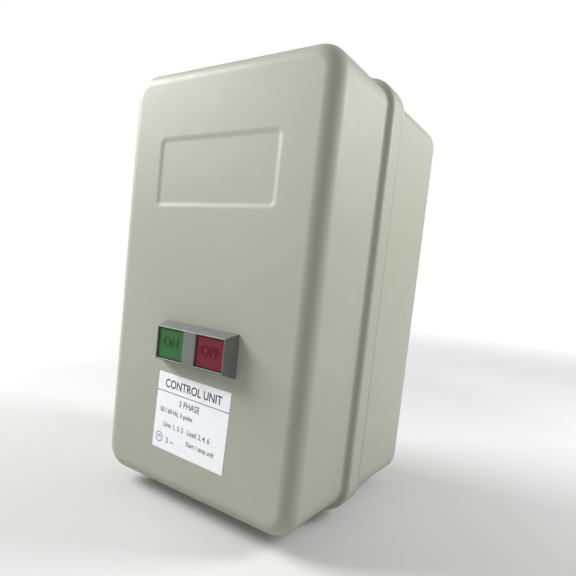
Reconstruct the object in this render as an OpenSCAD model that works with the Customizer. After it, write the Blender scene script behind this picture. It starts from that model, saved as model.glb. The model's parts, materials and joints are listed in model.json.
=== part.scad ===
// Magnetic motor starter: contactor, thermal overload relay and start switch in a pressed steel enclosure.
// The modules are drawn face up: X is right, Y is up the wall, and Z is the distance from the wall.
// upright() then stands the part up, so that +Z is up, the wall is the plane Y = 0 and the cover faces -Y.

/* [Enclosure] */
// Width of the box and cover, without the rims at their joint
body_w = 160; // [156:1:180]
// Height of the box and cover, without the rims at their joint
body_h = 270; // [266:1:300]
// Distance from the wall to the front of the cover
body_d = 154; // [154:1:170]
// Corner radius, seen from the front
corner_r = 17; // [15:1:22]
// Thickness of the pressed steel
sheet = 1.2; // [1:0.1:1.4]
// Radius of the cover's front edge
front_r = 10; // [8:1:12]
// Radius of the box's rear edge
rear_r = 6; // [4:1:8]

/* [Wall holes] */
// Distance between the wall holes, across
wall_hole_x = 110; // [100:1:120]
// Distance between the wall holes, up
wall_hole_y = 220; // [216:1:224]
// Radius of the wall holes
wall_hole_r = 2.75; // [2.5:0.25:3.25]

/* [Push buttons] */
// Travel of both push buttons
button_travel = 3.5; // [2:0.5:3.5]
// How far the button bezel stands out of the cover
bezel_out = 9; // [7:1:10]

/* [Contactor] */
// Travel of the contact carrier
carrier_travel = 5.4; // [4.4:0.1:5.4]
// Distance between the poles
pole_pitch = 24; // [24:0.5:24.5]

/* [Hidden] */
$fn = 64;

steel_grey = [0.76, 0.76, 0.70];
zinc = [0.74, 0.75, 0.76];
brass = [0.80, 0.62, 0.28];
copper = [0.76, 0.42, 0.24];
black_plastic = [0.10, 0.10, 0.11];
cream_plastic = [0.86, 0.84, 0.76];
grey_plastic = [0.52, 0.54, 0.54];

gap = 0.2;            // between pieces that only lie beside each other
running = 0.05;       // radial play of a shaft in its hole

// Joint between box and cover
joint_d = 80;         // rear edge of the cover's skirt
skirt_out = 4;        // how far the skirt stands out from the side
skirt_len = 11;       // straight part of the skirt
step_len = 7;         // depth over which the side steps out to the skirt
step_r = (step_len^2 + skirt_out^2) / (4 * skirt_out);
step_a = 2 * atan(skirt_out / step_len);
step_end_d = joint_d + skirt_len;
step_start_d = step_end_d + step_len;
bead_out = 3.6;       // nose of the bead pressed out of the box wall
bead_h = 5;
bead_d = joint_d - 0.5 - bead_h;
neck_d = joint_d + 11;  // front edge of the box
seal_lap = 4;         // how far the seal laps over the neck
seal_wall = 1.5;
seal_top = 2;         // rubber in front of the neck's edge

// Hinge along the top and screw at the bottom
hinge_x = 42;
hinge_y = body_h / 2 + skirt_out + 3.5;
hinge_d = joint_d + 0.5;
hinge_pin_r = 1.5;
hook_r = 2.9;
hook_w = 16;
hook_plate = 1.4;
ear_r = 3.2;
ear_w = 2;
ear_back_d = joint_d - 20;
ear_front_d = bead_d - 1.5;
cover_screw_d = joint_d + 3.6;
cover_screw_r = 2;
cover_slot_r = 2.5;
nut_h = 4;
nut_w = 12;

// Cable entries in a gland plate below, and knockouts on top
entry_x = 38;
entry_d = 36;
entry_r = 11;
cable_r = 6;
grommet_flange = 2.5;
window_w = 108;       // window in the box's bottom wall
window_h = 34;
gland_w = 124;
gland_h = 48;
gland_screw_x = 58;
gland_screw_r = 1.65;
gland_face = -body_h / 2 + sheet;

// Recessed panel in the cover
panel_w = 96.5;
panel_h = 43.5;
panel_y = 69.3;
panel_in = 0.8;
panel_d = body_d - panel_in;

// Label below the buttons
label_w = 61.5;
label_h = 50;
label_x = -0.2;
label_y = -83.7;
label_turn = -1.5;
label_t = 0.15;

// Button unit
bezel_x = 2;
bezel_y = -37.8;
bezel_w = 56;
bezel_h = 20.6;
bezel_flare = 2.8;
bezel_floor = 2;
bezel_wall = 0.8;
cell_w = 22;
cell_x = 16.2;        // from the bezel's middle to the middle of each cell
cell_gap = 0.3;
cap_in = 1;           // the caps lie this far behind the bezel's front
cap_len = 11;
cap_front = 2.5;
cap_wall = 1.5;
stem_r = 3;
clamp_t = 1.6;
clamp_span = 72;
clamp_h = 12;
on_x = bezel_x - cell_x;
off_x = bezel_x + cell_x;
cell_h = bezel_h - 2 * bezel_wall;
bezel_front_d = body_d + bezel_out;
cap_front_d = bezel_front_d - cap_in;
cap_back_d = cap_front_d - cap_len;
bezel_floor_d = cap_back_d - button_travel - 3.5;
bezel_back_d = bezel_floor_d - bezel_floor;

// Mounting plate
plate_w = 120;
plate_top = 104;
plate_bottom = -92;
plate_d = 8;
plate_t = 2;
plate_screw_x = 52;
plate_screw_y = [-84, 96];
plate_face = plate_d + plate_t;
m4_r = 2;

// Contactor, in pieces from the mounting plate forward
poles = [-pole_pitch, 0, pole_pitch];
con_y = 44;           // middle of the contactor, up the wall
con_w = 76;
con_h = 88;
con_wall = 3;
con_base_d = 52;
con_body_d = con_base_d + 0.2;
con_front_d = 92;
con_nose_d = 100;
con_nose_h = 48;
foot_x = 43;
foot_t = 4;
core_w = 48;
core_t = 20;          // thickness of the stack of laminations
core_leg = 8;
core_mid = 14;
core_yoke = 9;
core_back_d = 18;
core_face_d = 46;
bobbin_w = 31;
bobbin_h = 48;
bobbin_flange = 1.5;
bobbin_wall = 1.2;
bobbin_back_d = core_back_d + core_yoke + 0.3;
bobbin_front_d = core_face_d - 1.3;
armature_d = core_face_d + carrier_travel + 0.1;
armature_leg = 8.5;
armature_yoke = 8;
armature_front_d = armature_d + armature_leg + armature_yoke;
carrier_d = armature_front_d + 0.2;
carrier_w = 59;
carrier_h = 12;
carrier_front_d = 96;
carrier_plate_h = 40;
carrier_plate_t = 2;
bridge_d = 80;
bridge_t = 2;
bridge_w = 7;
bridge_len = 36;
tip_r = 3;
tip_t = 1.2;
tip_y = 15;           // from the contactor's middle to the middle of each contact tip
window_top_d = 92.4;
bar_d = bridge_d - tip_t - carrier_travel - 0.1 - 1 - 1.5;
bar_t = 1.5;
bar_w = 8;
bar_in_y = 12;        // from the contactor's middle to the inner end of each bar
bay_w = 17;
bay_y = 24;           // from the contactor's middle to the wall of each terminal bay
term_y = 34;          // from the contactor's middle to the main terminal screws
term_screw_r = 2.5;
saddle_w = 9;
link_t = 1.5;
coil_ledge_d = 48;
coil_term_x = 25;
coil_term_y = con_y + con_h / 2 + 4.5;
aux_w = 12;
aux_h = 60;
aux_back_d = 30;
aux_shelf_d = 80;     // face on which the auxiliary terminals sit
aux_contact_x = -42;
aux_term_x = -44.2;
aux_term_y = 24;      // from the contactor's middle to the auxiliary terminals
aux_tip_y = 9;
aux_bridge_d = bridge_d + bridge_t - 0.5;
aux_bar_d = aux_bridge_d - 0.8 - carrier_travel - 0.1 - 1.8;

// Overload relay
rel_w = con_w;
rel_top = -4;
rel_bottom = -66;
rel_back_d = 20;
rel_front_d = 88;
rel_plate_t = 2.8;
rel_wall = 2;
rel_bay_top = -53;
rel_bay_d = 66;
heater_d = 45;
heater_r = 4;
heater_turns = 8;
strip_t = 1;
strip_w = 6;
strip_top = -16;
strip_bottom = -52;
slide_y = -51.5;
slide_travel = 2;
slide_h = 3;
slide_depth = 14;
slide_left_x = -33;
slide_right_x = 30;
rocker_x = 32;
rocker_arm = 9.5;
rocker_pin_r = 1.2;
reset_r = 4;
reset_tip_d = 104;
reset_collar_d = 74;
dial_x = -20;
dial_y = -15;
dial_r = 6.5;
dial_front_d = 93.5;
rel_aux_y = -13;
rel_aux_d = 80;
reset_spring_d = 60;
rel_aux_x = [5, 13, 21, 29];
rel_term_y = -60;
rel_tab_d = rel_bay_d + 0.2;  // back of the tabs in the load terminal bays
rel_tab_t = 1.5;
link_foot_y = rel_top - 9.5;
tab_foot_y = -45;

// Start switch
sw_y = bezel_y;
sw_back_d = 97.7;
sw_front_d = 118;
sw_w = 18;
sw_h = 20;
sw_wall = 2;
sw_term_y = 12.8;
plunger_tip_d = 126;
plunger_r = 3;
bracket_t = 1.5;
bracket_x = -47;
bracket_h = 14;
bracket_foot = 12;
contact_bar_d = 106.5;  // back of the start switch's moving contact
contact_bar_t = 1.5;

wire_r = 1.1;

// ---- helpers ----

module upright() {
    rotate([90, 0, 0]) children();
}

// Box between two opposite corners
module block(low, high) {
    translate(low) cube(high - low);
}

// Rectangular plate centred on a point of the wall plane, from depth d0 to depth d1
module slab(w, h, d0, d1, x = 0, y = 0) {
    translate([x - w / 2, y - h / 2, d0]) cube([w, h, d1 - d0]);
}

// Round bar along the depth, from d0 to d1
module peg(r, d0, d1, x = 0, y = 0) {
    translate([x, y, d0]) cylinder(r = r, h = d1 - d0);
}

// Round bar up the wall, from y0 to y1
module upright_peg(r, y0, y1, x = 0, d = 0) {
    translate([x, y1, d]) rotate([90, 0, 0]) cylinder(r = r, h = y1 - y0);
}

module rounded_square(w, h, r) {
    union() {
        square([w - 2 * r, h], center = true);
        square([w, h - 2 * r], center = true);
        for (x = [-1, 1], y = [-1, 1]) translate([x * (w / 2 - r), y * (h / 2 - r)]) circle(r);
    }
}

// Part of a flat ring between two angles less than 180 degrees apart
module arc_band(r_in, r_out, from, to) {
    far = 2 * r_out;
    mid = (from + to) / 2;
    intersection() {
        difference() {
            circle(r_out);
            if (r_in > 0) circle(r_in);
        }
        polygon([[0, 0], far * [cos(from), sin(from)],
                 2 * far * [cos(mid), sin(mid)], far * [cos(to), sin(to)]]);
    }
}

// Sweeps a profile round a rounded rectangle: the profile's X is outwards and its Y is the depth
module around(w, h, r) {
    for (q = [[1, 1, 0], [-1, 1, 90], [-1, -1, 180], [1, -1, 270]])
        translate([q[0] * (w / 2 - r), q[1] * (h / 2 - r), 0])
            rotate(q[2]) rotate_extrude(angle = 90) translate([r, 0]) children();
    for (turn = [0, 180]) rotate(turn) {
        translate([w / 2, h / 2 - r, 0]) rotate([90, 0, 0]) linear_extrude(h - 2 * r) children();
        translate([r - w / 2, h / 2, 0]) rotate([90, 0, 90]) linear_extrude(w - 2 * r) children();
    }
}

// Helical compression spring standing along the depth
module coil_spring(r, wire, length, turns) {
    sides = 5;
    steps = 8;
    rings = turns * steps;
    rise = length - 2 * wire;
    points = [for (i = [0:rings]) let (a = 360 * i / steps) for (j = [0:sides - 1]) let (b = 360 * j / sides)
        let (out = r + wire * cos(b), up = wire + rise * i / rings + wire * sin(b))
            [out * cos(a), out * sin(a), up]];
    skin = [for (i = [0:rings - 1], j = [0:sides - 1]) let (k = (j + 1) % sides)
        each [[i * sides + j, i * sides + k, (i + 1) * sides + k],
              [i * sides + j, (i + 1) * sides + k, (i + 1) * sides + j]]];
    polyhedron(points, concat(skin,
        [[for (j = [sides - 1:-1:0]) j], [for (j = [0:sides - 1]) rings * sides + j]]));
}

// Screw with its axis along the depth: the head lies on the plane d and the shank runs back from it
module pan_screw(x, y, d, head_r, head_h, shank_r, shank_len, slot = 1) {
    difference() {
        union() {
            peg(head_r, d, d + head_h, x, y);
            peg(shank_r, d - shank_len, d + 0.1, x, y);
        }
        slab(2 * head_r - 1.4, slot, d + head_h * 0.5, d + head_h + 1, x, y);
        slab(slot, 2 * head_r - 1.4, d + head_h * 0.5, d + head_h + 1, x, y);
    }
}

// ---- enclosure ----

module cover_profile() {
    translate([-front_r, body_d - front_r]) arc_band(front_r - sheet, front_r, 0, 90);
    translate([-sheet, step_start_d]) square([sheet, body_d - front_r - step_start_d]);
    translate([step_r, step_start_d]) arc_band(step_r, step_r + sheet, 180, 180 + step_a);
    translate([skirt_out - step_r, step_end_d]) arc_band(step_r - sheet, step_r, 0, step_a);
    translate([skirt_out - sheet, joint_d]) square([sheet, skirt_len]);
}

module front_cover() {
    color(steel_grey) difference() {
        union() {
            around(body_w, body_h, corner_r) cover_profile();
            difference() {
                translate([0, 0, body_d - sheet]) linear_extrude(sheet)
                    rounded_square(body_w - 2 * front_r, body_h - 2 * front_r, corner_r - front_r);
                slab(panel_w, panel_h, panel_d, body_d + 1, 0, panel_y);
            }
            slab(panel_w + 2 * sheet, panel_h + 2 * sheet, panel_d - sheet, panel_d, 0, panel_y);
        }
        slab(bezel_w + 0.8, bezel_h + 0.8, body_d - 5, body_d + 5, bezel_x, bezel_y);
        upright_peg(cover_slot_r, -body_h, -body_h / 2 - 1, 0, cover_screw_d);
        block([-cover_slot_r, -body_h, joint_d - 5], [cover_slot_r, -body_h / 2 - 1, cover_screw_d]);
    }
}

module box_profile() {
    nose_r = bead_h / 2;
    nose_x = bead_out - nose_r;
    translate([-rear_r, rear_r]) arc_band(rear_r - sheet, rear_r, 270, 360);
    translate([-sheet, rear_r]) square([sheet, bead_d + sheet - rear_r]);
    for (leg_d = [bead_d, bead_d + bead_h - sheet])
        translate([-sheet, leg_d]) square([nose_x + sheet, sheet]);
    for (half = [0, 1])
        translate([nose_x, bead_d + nose_r]) arc_band(nose_r - sheet, nose_r, -90 + 90 * half, 90 * half);
    translate([-sheet, bead_d + bead_h - sheet]) square([sheet, neck_d - bead_d - bead_h + sheet]);
}

module rear_box() {
    groove_w = 0.8;
    groove_in = 0.5;
    color(steel_grey) difference() {
        union() {
            around(body_w, body_h, corner_r) box_profile();
            linear_extrude(sheet)
                rounded_square(body_w - 2 * rear_r, body_h - 2 * rear_r, corner_r - rear_r);
        }
        for (x = [-1, 1], y = [-1, 1])
            peg(wall_hole_r, -1, sheet + 1, x * wall_hole_x / 2, y * wall_hole_y / 2);
        block([-window_w / 2, -body_h / 2 - 1, entry_d - window_h / 2],
              [window_w / 2, gland_face + 1, entry_d + window_h / 2]);
        for (x = [-gland_screw_x, gland_screw_x])
            upright_peg(gland_screw_r + 0.1, -body_h / 2 - 1, gland_face + 1, x, entry_d);
        for (x = [-entry_x, entry_x]) difference() {
            upright_peg(entry_r, body_h / 2 - groove_in, body_h / 2 + 5, x, entry_d);
            upright_peg(entry_r - groove_w, body_h / 2 - 5, body_h / 2 + 6, x, entry_d);
        }
        upright_peg(cover_screw_r + 0.3, -body_h / 2 - 5, -body_h / 2 + 5, 0, cover_screw_d);
    }
}

module cover_seal() {
    color([0.12, 0.12, 0.12]) around(body_w, body_h, corner_r) {
        translate([-sheet - seal_wall, neck_d]) square([sheet + 2 * seal_wall, seal_top]);
        translate([-sheet - seal_wall, neck_d - seal_lap]) square([seal_wall, seal_lap]);
        translate([0, neck_d - seal_lap]) square([seal_wall, seal_lap]);
    }
}

module gland_plate() {
    color(zinc) difference() {
        block([-gland_w / 2, gland_face, entry_d - gland_h / 2],
              [gland_w / 2, gland_face + sheet, entry_d + gland_h / 2]);
        for (x = [-entry_x, entry_x])
            upright_peg(entry_r, gland_face - 1, gland_face + sheet + 1, x, entry_d);
        for (x = [-gland_screw_x, gland_screw_x])
            upright_peg(gland_screw_r + running, gland_face - 1, gland_face + sheet + 1, x, entry_d);
    }
}

module gland_plate_screws() {
    head_r = 3.4;
    head_h = 2.2;
    slot_w = 0.9;
    head_y = -body_h / 2;
    color(zinc) for (x = [-gland_screw_x, gland_screw_x]) difference() {
        union() {
            upright_peg(head_r, head_y - head_h, head_y, x, entry_d);
            upright_peg(gland_screw_r, head_y - 0.1, gland_face + sheet + 2, x, entry_d);
        }
        block([x - head_r - 1, head_y - head_h - 1, entry_d - slot_w / 2],
              [x + head_r + 1, head_y - head_h / 2, entry_d + slot_w / 2]);
    }
}

module cable_grommets() {
    plate_back = gland_face + sheet;
    color([0.13, 0.13, 0.13]) for (x = [-entry_x, entry_x]) difference() {
        union() {
            upright_peg(entry_r + 3, gland_face - grommet_flange, gland_face, x, entry_d);
            upright_peg(entry_r - running, gland_face - 0.1, plate_back + 0.1, x, entry_d);
            upright_peg(entry_r + 2, plate_back, plate_back + grommet_flange, x, entry_d);
        }
        upright_peg(cable_r, gland_face - 10, plate_back + 10, x, entry_d);
    }
}

module hinge_brackets() {
    ear_top = hinge_y + ear_r;
    foot_t = 1.4;
    ear_gap = 0.3;
    color(steel_grey) for (x = [-hinge_x, hinge_x]) {
        block([x - hook_w / 2 - ear_gap - ear_w, body_h / 2, ear_back_d],
              [x + hook_w / 2 + ear_gap + ear_w, body_h / 2 + foot_t, ear_front_d]);
        for (side = [-1, 1]) difference() {
            inner = x + side * (hook_w / 2 + ear_gap);
            outer = inner + side * ear_w;
            low = min(inner, outer);
            union() {
                block([low, body_h / 2, ear_back_d], [low + ear_w, ear_top, ear_front_d]);
                block([low, hinge_y - ear_r, ear_front_d - 1], [low + ear_w, ear_top, hinge_d]);
                translate([low, hinge_y, hinge_d]) rotate([0, 90, 0]) cylinder(r = ear_r, h = ear_w);
            }
            translate([low - 1, hinge_y, hinge_d]) rotate([0, 90, 0])
                cylinder(r = hinge_pin_r + running, h = ear_w + 2);
        }
    }
}

module hinge_pins() {
    length = hook_w + 2 * ear_w + 2;
    head_r = 2.3;
    head_t = 1;
    color(zinc) for (x = [-hinge_x, hinge_x])
        translate([x - length / 2, hinge_y, hinge_d]) rotate([0, 90, 0]) {
            cylinder(r = hinge_pin_r, h = length);
            translate([0, 0, -head_t]) cylinder(r = head_r, h = head_t + 0.1);
            translate([0, 0, length - 0.1]) cylinder(r = head_r, h = head_t);
        }
}

module cover_hinge_hooks() {
    color(steel_grey) for (x = [-hinge_x, hinge_x]) difference() {
        union() {
            translate([x - hook_w / 2, hinge_y, hinge_d]) rotate([0, 90, 0]) cylinder(r = hook_r, h = hook_w);
            block([x - hook_w / 2, body_h / 2 + skirt_out, hinge_d],
                  [x + hook_w / 2, body_h / 2 + skirt_out + hook_plate, step_end_d - 1]);
        }
        translate([x - hook_w, hinge_y, hinge_d]) rotate([0, 90, 0])
            cylinder(r = hinge_pin_r + running, h = 2 * hook_w);
    }
}

module cover_screw_nut() {
    inner_y = -body_h / 2 + sheet;
    color(zinc) difference() {
        block([-nut_w / 2, inner_y, cover_screw_d - nut_w / 4],
              [nut_w / 2, inner_y + nut_h, cover_screw_d + nut_w / 4]);
        upright_peg(cover_screw_r + running, inner_y - 1, inner_y + nut_h + 1, 0, cover_screw_d);
    }
}

module cover_screw() {
    skirt_y = -body_h / 2 - skirt_out;
    washer_r = 4.5;
    washer_t = 0.8;
    head_r = 4;
    head_h = 3;
    slot_w = 1;
    washer_y = skirt_y - gap;
    color(zinc) difference() {
        union() {
            upright_peg(cover_screw_r, washer_y - 1, -body_h / 2 + sheet + nut_h + 1, 0, cover_screw_d);
            upright_peg(washer_r, washer_y - washer_t, washer_y, 0, cover_screw_d);
            upright_peg(head_r, washer_y - washer_t - head_h, washer_y - washer_t + 0.1, 0, cover_screw_d);
        }
        block([-head_r - 1, washer_y - washer_t - head_h - 1, cover_screw_d - slot_w / 2],
              [head_r + 1, washer_y - washer_t - head_h + 1.2, cover_screw_d + slot_w / 2]);
    }
}

module mounting_plate() {
    height = plate_top - plate_bottom;
    mid_y = (plate_top + plate_bottom) / 2;
    color(zinc) difference() {
        translate([0, mid_y, plate_d]) linear_extrude(plate_t) rounded_square(plate_w, height, 6);
        for (x = [-plate_screw_x, plate_screw_x], y = plate_screw_y)
            peg(m4_r + 0.25, plate_d - 1, plate_face + 1, x, y);
        for (x = [-foot_x, foot_x]) peg(m4_r + 0.1, plate_d - 1, plate_face + 1, x, con_y);
        peg(m4_r + 0.1, plate_d - 1, plate_face + 1, bracket_x - bracket_foot / 2, sw_y);
    }
}

module plate_spacers() {
    color(zinc) for (x = [-plate_screw_x, plate_screw_x], y = plate_screw_y) difference() {
        peg(5, sheet, plate_d, x, y);
        peg(m4_r + running, sheet + 1, plate_d + 1, x, y);
    }
}

// Screws that hold the mounting plate on its spacers, and the contactor on the plate
module mounting_screws() {
    color(zinc) {
        for (x = [-plate_screw_x, plate_screw_x], y = plate_screw_y)
            pan_screw(x, y, plate_face, 3.8, 2.6, m4_r, 7);
        for (x = [-foot_x, foot_x]) pan_screw(x, con_y, plate_face + foot_t, 3.8, 2.6, m4_r, 7);
    }
}

module earth_terminal() {
    x = 68;
    y = -84;
    color(brass) {
        peg(2.5, sheet, 14, x, y);
        difference() {
            peg(5, sheet, sheet + 1, x, y);
            peg(2.4, 0, 5, x, y);
        }
        translate([x, y, sheet + 1]) cylinder(r = 4.6, h = 4, $fn = 6);
    }
}

module rating_label() {
    color("white") translate([label_x, label_y, body_d]) rotate(label_turn)
        translate([-label_w / 2, -label_h / 2, 0]) cube([label_w, label_h, label_t]);
}

// ---- push buttons in the cover ----

module button_bezel() {
    color(grey_plastic) difference() {
        union() {
            hull() {
                slab(bezel_w + 2 * bezel_flare, bezel_h + 2 * bezel_flare, body_d, body_d + 0.1,
                     bezel_x, bezel_y);
                slab(bezel_w, bezel_h, bezel_front_d - 0.1, bezel_front_d, bezel_x, bezel_y);
            }
            slab(bezel_w, bezel_h, bezel_back_d, body_d + 0.1, bezel_x, bezel_y);
        }
        for (x = [on_x, off_x]) {
            slab(cell_w, cell_h, bezel_floor_d, bezel_front_d + 1, x, bezel_y);
            peg(stem_r + running, bezel_back_d - 1, bezel_floor_d + 1, x, bezel_y);
        }
        peg(1.5, bezel_back_d - 1, bezel_back_d + 8, bezel_x, bezel_y);
    }
}

module bezel_clamp() {
    strap_d = bezel_back_d - clamp_t;
    cover_in = body_d - sheet;
    color(zinc) difference() {
        union() {
            slab(clamp_span, clamp_h, strap_d, bezel_back_d, bezel_x, bezel_y);
            for (side = [-1, 1])
                slab(clamp_t, clamp_h, strap_d, cover_in,
                     bezel_x + side * (clamp_span - clamp_t) / 2, bezel_y);
        }
        for (x = [on_x, off_x]) peg(stem_r + 0.6, strap_d - 1, bezel_back_d + 1, x, bezel_y);
        peg(1.7, strap_d - 1, bezel_back_d + 1, bezel_x, bezel_y);
    }
}

module bezel_clamp_screw() {
    strap_d = bezel_back_d - clamp_t;
    color(zinc) translate([0, 0, 2 * strap_d]) mirror([0, 0, 1])
        pan_screw(bezel_x, bezel_y, strap_d, 3, 2, 1.45, 8, 0.8);
}

// Push button with a cupped cap and a stem that reaches back to the depth tip_d
module push_button(x, tip_d) {
    difference() {
        slab(cell_w - 2 * cell_gap, cell_h - 2 * cell_gap, cap_back_d, cap_front_d, x, bezel_y);
        slab(cell_w - 2 * cell_gap - 2 * cap_wall, cell_h - 2 * cell_gap - 2 * cap_wall,
             cap_back_d - 1, cap_front_d - cap_front, x, bezel_y);
    }
    peg(stem_r, tip_d, cap_front_d - cap_front + 0.1, x, bezel_y);
}

module on_button() {
    color([0.16, 0.42, 0.20]) push_button(on_x, plunger_tip_d + gap);
}

module off_button() {
    color([0.46, 0.09, 0.14]) push_button(off_x, reset_tip_d + gap);
}

module button_spring(x) {
    foot_d = bezel_floor_d + 0.1;
    translate([x, bezel_y, foot_d]) coil_spring(5, 0.4, cap_front_d - cap_front - 0.1 - foot_d, 6);
}

module on_button_spring() {
    color(zinc) button_spring(on_x);
}

module off_button_spring() {
    color(zinc) button_spring(off_x);
}

// ---- contactor ----

module contactor_base() {
    ledge_w = 68;
    ledge_h = 14;
    con_top = con_y + con_h / 2;
    color(black_plastic) difference() {
        union() {
            slab(con_w, con_h, plate_face, con_base_d, 0, con_y);
            for (x = [-foot_x, foot_x]) slab(14, 16, plate_face, plate_face + foot_t, x, con_y);
            block([-ledge_w / 2, con_top - 1, coil_ledge_d - ledge_h],
                  [ledge_w / 2, con_top + 9, coil_ledge_d]);
        }
        slab(con_w - 2 * con_wall, con_h - 2 * con_wall, plate_face + con_wall, con_base_d + 1, 0, con_y);
        for (x = [-foot_x, foot_x]) peg(m4_r + 0.2, plate_face - 1, plate_face + foot_t + 1, x, con_y);
        for (x = [-coil_term_x, coil_term_x]) peg(1.7, coil_ledge_d - 9, coil_ledge_d + 1, x, coil_term_y);
    }
}

module contactor_body() {
    cavity_w = 61;
    cavity_h = 2 * bay_y - 4;
    opening_w = 20;
    opening_h = 11;
    vent_pitch = 4;
    color(cream_plastic) difference() {
        union() {
            slab(con_w, con_h, con_body_d, con_front_d, 0, con_y);
            slab(con_w, con_nose_h, con_body_d, con_nose_d, 0, con_y);
        }
        slab(cavity_w, cavity_h, con_body_d - 1, con_nose_d - con_wall, 0, con_y);
        slab(opening_w, opening_h, con_nose_d - con_wall - 1, con_nose_d + 1, 0, con_y);
        for (side = [-1, 1], x = poles) {
            block([x - bay_w / 2, con_y + (side > 0 ? bay_y : -con_h), bar_d - 0.1],
                  [x + bay_w / 2, con_y + (side > 0 ? con_h : -bay_y), con_nose_d + 1]);
            slab(bar_w + 0.3, 10, bar_d - 0.1, bar_d + bar_t + 0.1, x, con_y + side * (bay_y - 2));
            peg(term_screw_r + 0.1, bar_d - 9, bar_d + 1, x, con_y + side * term_y);
        }
        // Slot for the arm that works the auxiliary contact
        block([-con_w, con_y - 3.2, bridge_d - carrier_travel - 3],
              [-cavity_w / 2 + 1, con_y + 3.2, bridge_d + 8]);
        // Vents above the arcing contacts
        for (x = poles, k = [-1, 0, 1])
            for (side = [-1, 1])
                slab(2, 8, con_nose_d - con_wall - 1, con_nose_d + 1, x + k * vent_pitch, con_y + side * 14);
    }
}

// Laminated E core in the plane of X and the depth; the legs point along +Z from the yoke at depth 0
module e_core(yoke, leg, mid_short) {
    difference() {
        translate([-core_w / 2, -core_t / 2, 0]) cube([core_w, core_t, yoke + leg]);
        for (side = [-1, 1]) {
            slot_w = (core_w - core_mid) / 2 - core_leg;
            translate([side * (core_mid + slot_w) / 2 - slot_w / 2, -core_t, yoke])
                cube([slot_w, 2 * core_t, leg + 1]);
        }
        translate([-core_mid / 2 - 0.1, -core_t, yoke + leg - mid_short])
            cube([core_mid + 0.2, 2 * core_t, leg]);
        for (x = [-core_w / 2 + core_leg / 2, core_w / 2 - core_leg / 2])
            translate([x, core_t, yoke / 2]) rotate([90, 0, 0]) cylinder(r = 1.5, h = 2 * core_t);
    }
}

module fixed_core() {
    ring_slot = 1;
    color([0.45, 0.46, 0.48]) difference() {
        translate([0, con_y, core_back_d]) e_core(core_yoke, core_face_d - core_back_d - core_yoke, 0.3);
        for (side = [-1, 1])
            slab(ring_slot + 0.1, core_t + 2, core_face_d - 2, core_face_d + 1,
                 side * (core_w - core_leg) / 2, con_y);
    }
}

module core_cushion() {
    color([0.15, 0.15, 0.15]) for (x = [-17, 17])
        slab(12, core_t - 2, plate_face + con_wall, core_back_d, x, con_y);
}

module shading_rings() {
    ring_w = 4.5;
    color(copper) for (side = [-1, 1]) difference() {
        x = side * (core_w / 2 - core_leg / 2 + ring_w / 2);
        slab(ring_w + 1, core_t + 2, core_face_d - 1.8, core_face_d - 0.6, x, con_y);
        slab(ring_w - 1, core_t, core_face_d - 3, core_face_d, x, con_y);
    }
}

module coil_bobbin() {
    tube_w = core_mid + 1 + 2 * bobbin_wall;
    tube_h = core_t + 1 + 2 * bobbin_wall;
    color(cream_plastic) difference() {
        union() {
            slab(bobbin_w, bobbin_h, bobbin_back_d, bobbin_back_d + bobbin_flange, 0, con_y);
            slab(tube_w, tube_h, bobbin_back_d, bobbin_front_d, 0, con_y);
            slab(bobbin_w, bobbin_h, bobbin_front_d - bobbin_flange, bobbin_front_d, 0, con_y);
        }
        slab(core_mid + 1, core_t + 1, bobbin_back_d - 1, bobbin_front_d + 1, 0, con_y);
    }
}

module coil_winding() {
    tube_w = core_mid + 1 + 2 * bobbin_wall;
    tube_h = core_t + 1 + 2 * bobbin_wall;
    low = bobbin_back_d + bobbin_flange;
    high = bobbin_front_d - bobbin_flange;
    color(copper) difference() {
        translate([0, con_y, low]) linear_extrude(high - low) rounded_square(bobbin_w - 1.4, bobbin_h - 4, 6);
        slab(tube_w, tube_h, low - 1, high + 1, 0, con_y);
    }
}

module coil_terminals() {
    plate_t = 1;
    color(brass) for (x = [-coil_term_x, coil_term_x]) {
        difference() {
            slab(9, 8, coil_ledge_d, coil_ledge_d + plate_t, x, coil_term_y);
            peg(1.75, coil_ledge_d - 1, coil_ledge_d + 2, x, coil_term_y);
        }
        pan_screw(x, coil_term_y, coil_ledge_d + plate_t + 0.1, 3, 2.2, 1.65, 9, 0.8);
    }
}

module moving_core() {
    color([0.45, 0.46, 0.48]) translate([0, con_y, armature_front_d]) mirror([0, 0, 1])
        e_core(armature_yoke, armature_leg, 0);
}

module contact_carrier() {
    slot_w = 9;
    aux_arm_x = aux_contact_x - 2;
    color([0.55, 0.20, 0.14]) difference() {
        union() {
            slab(core_w, carrier_plate_h, carrier_d, carrier_d + carrier_plate_t, 0, con_y);
            slab(carrier_w, carrier_h, carrier_d, carrier_front_d, 0, con_y);
            slab(19, 10, carrier_front_d - 1, con_nose_d - 0.5, 0, con_y);
            block([aux_arm_x, con_y - 2, bridge_d + bridge_t + 0.5],
                  [-carrier_w / 2 + 1, con_y + 2, bridge_d + 7]);
        }
        for (x = poles) {
            slab(slot_w, carrier_h + 2, bridge_d, window_top_d, x, con_y);
            peg(1, carrier_d - 1, bridge_d + 1, x, con_y);
        }
    }
}

module moving_contacts() {
    color(copper) for (x = poles) {
        slab(bridge_w, bridge_len, bridge_d, bridge_d + bridge_t, x, con_y);
        for (side = [-1, 1]) peg(tip_r, bridge_d - tip_t, bridge_d + 0.1, x, con_y + side * tip_y);
    }
    color(copper) {
        slab(4, 22, aux_bridge_d, aux_bridge_d + 0.9, aux_contact_x, con_y);
        for (side = [-1, 1])
            peg(1.5, aux_bridge_d - 0.8, aux_bridge_d + 0.1, aux_contact_x, con_y + side * aux_tip_y);
    }
}

module contact_springs() {
    foot = bridge_d + bridge_t + 0.1;
    color(zinc) for (x = poles) translate([x, con_y, foot]) coil_spring(3, 0.4, window_top_d - 0.1 - foot, 5);
}

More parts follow.
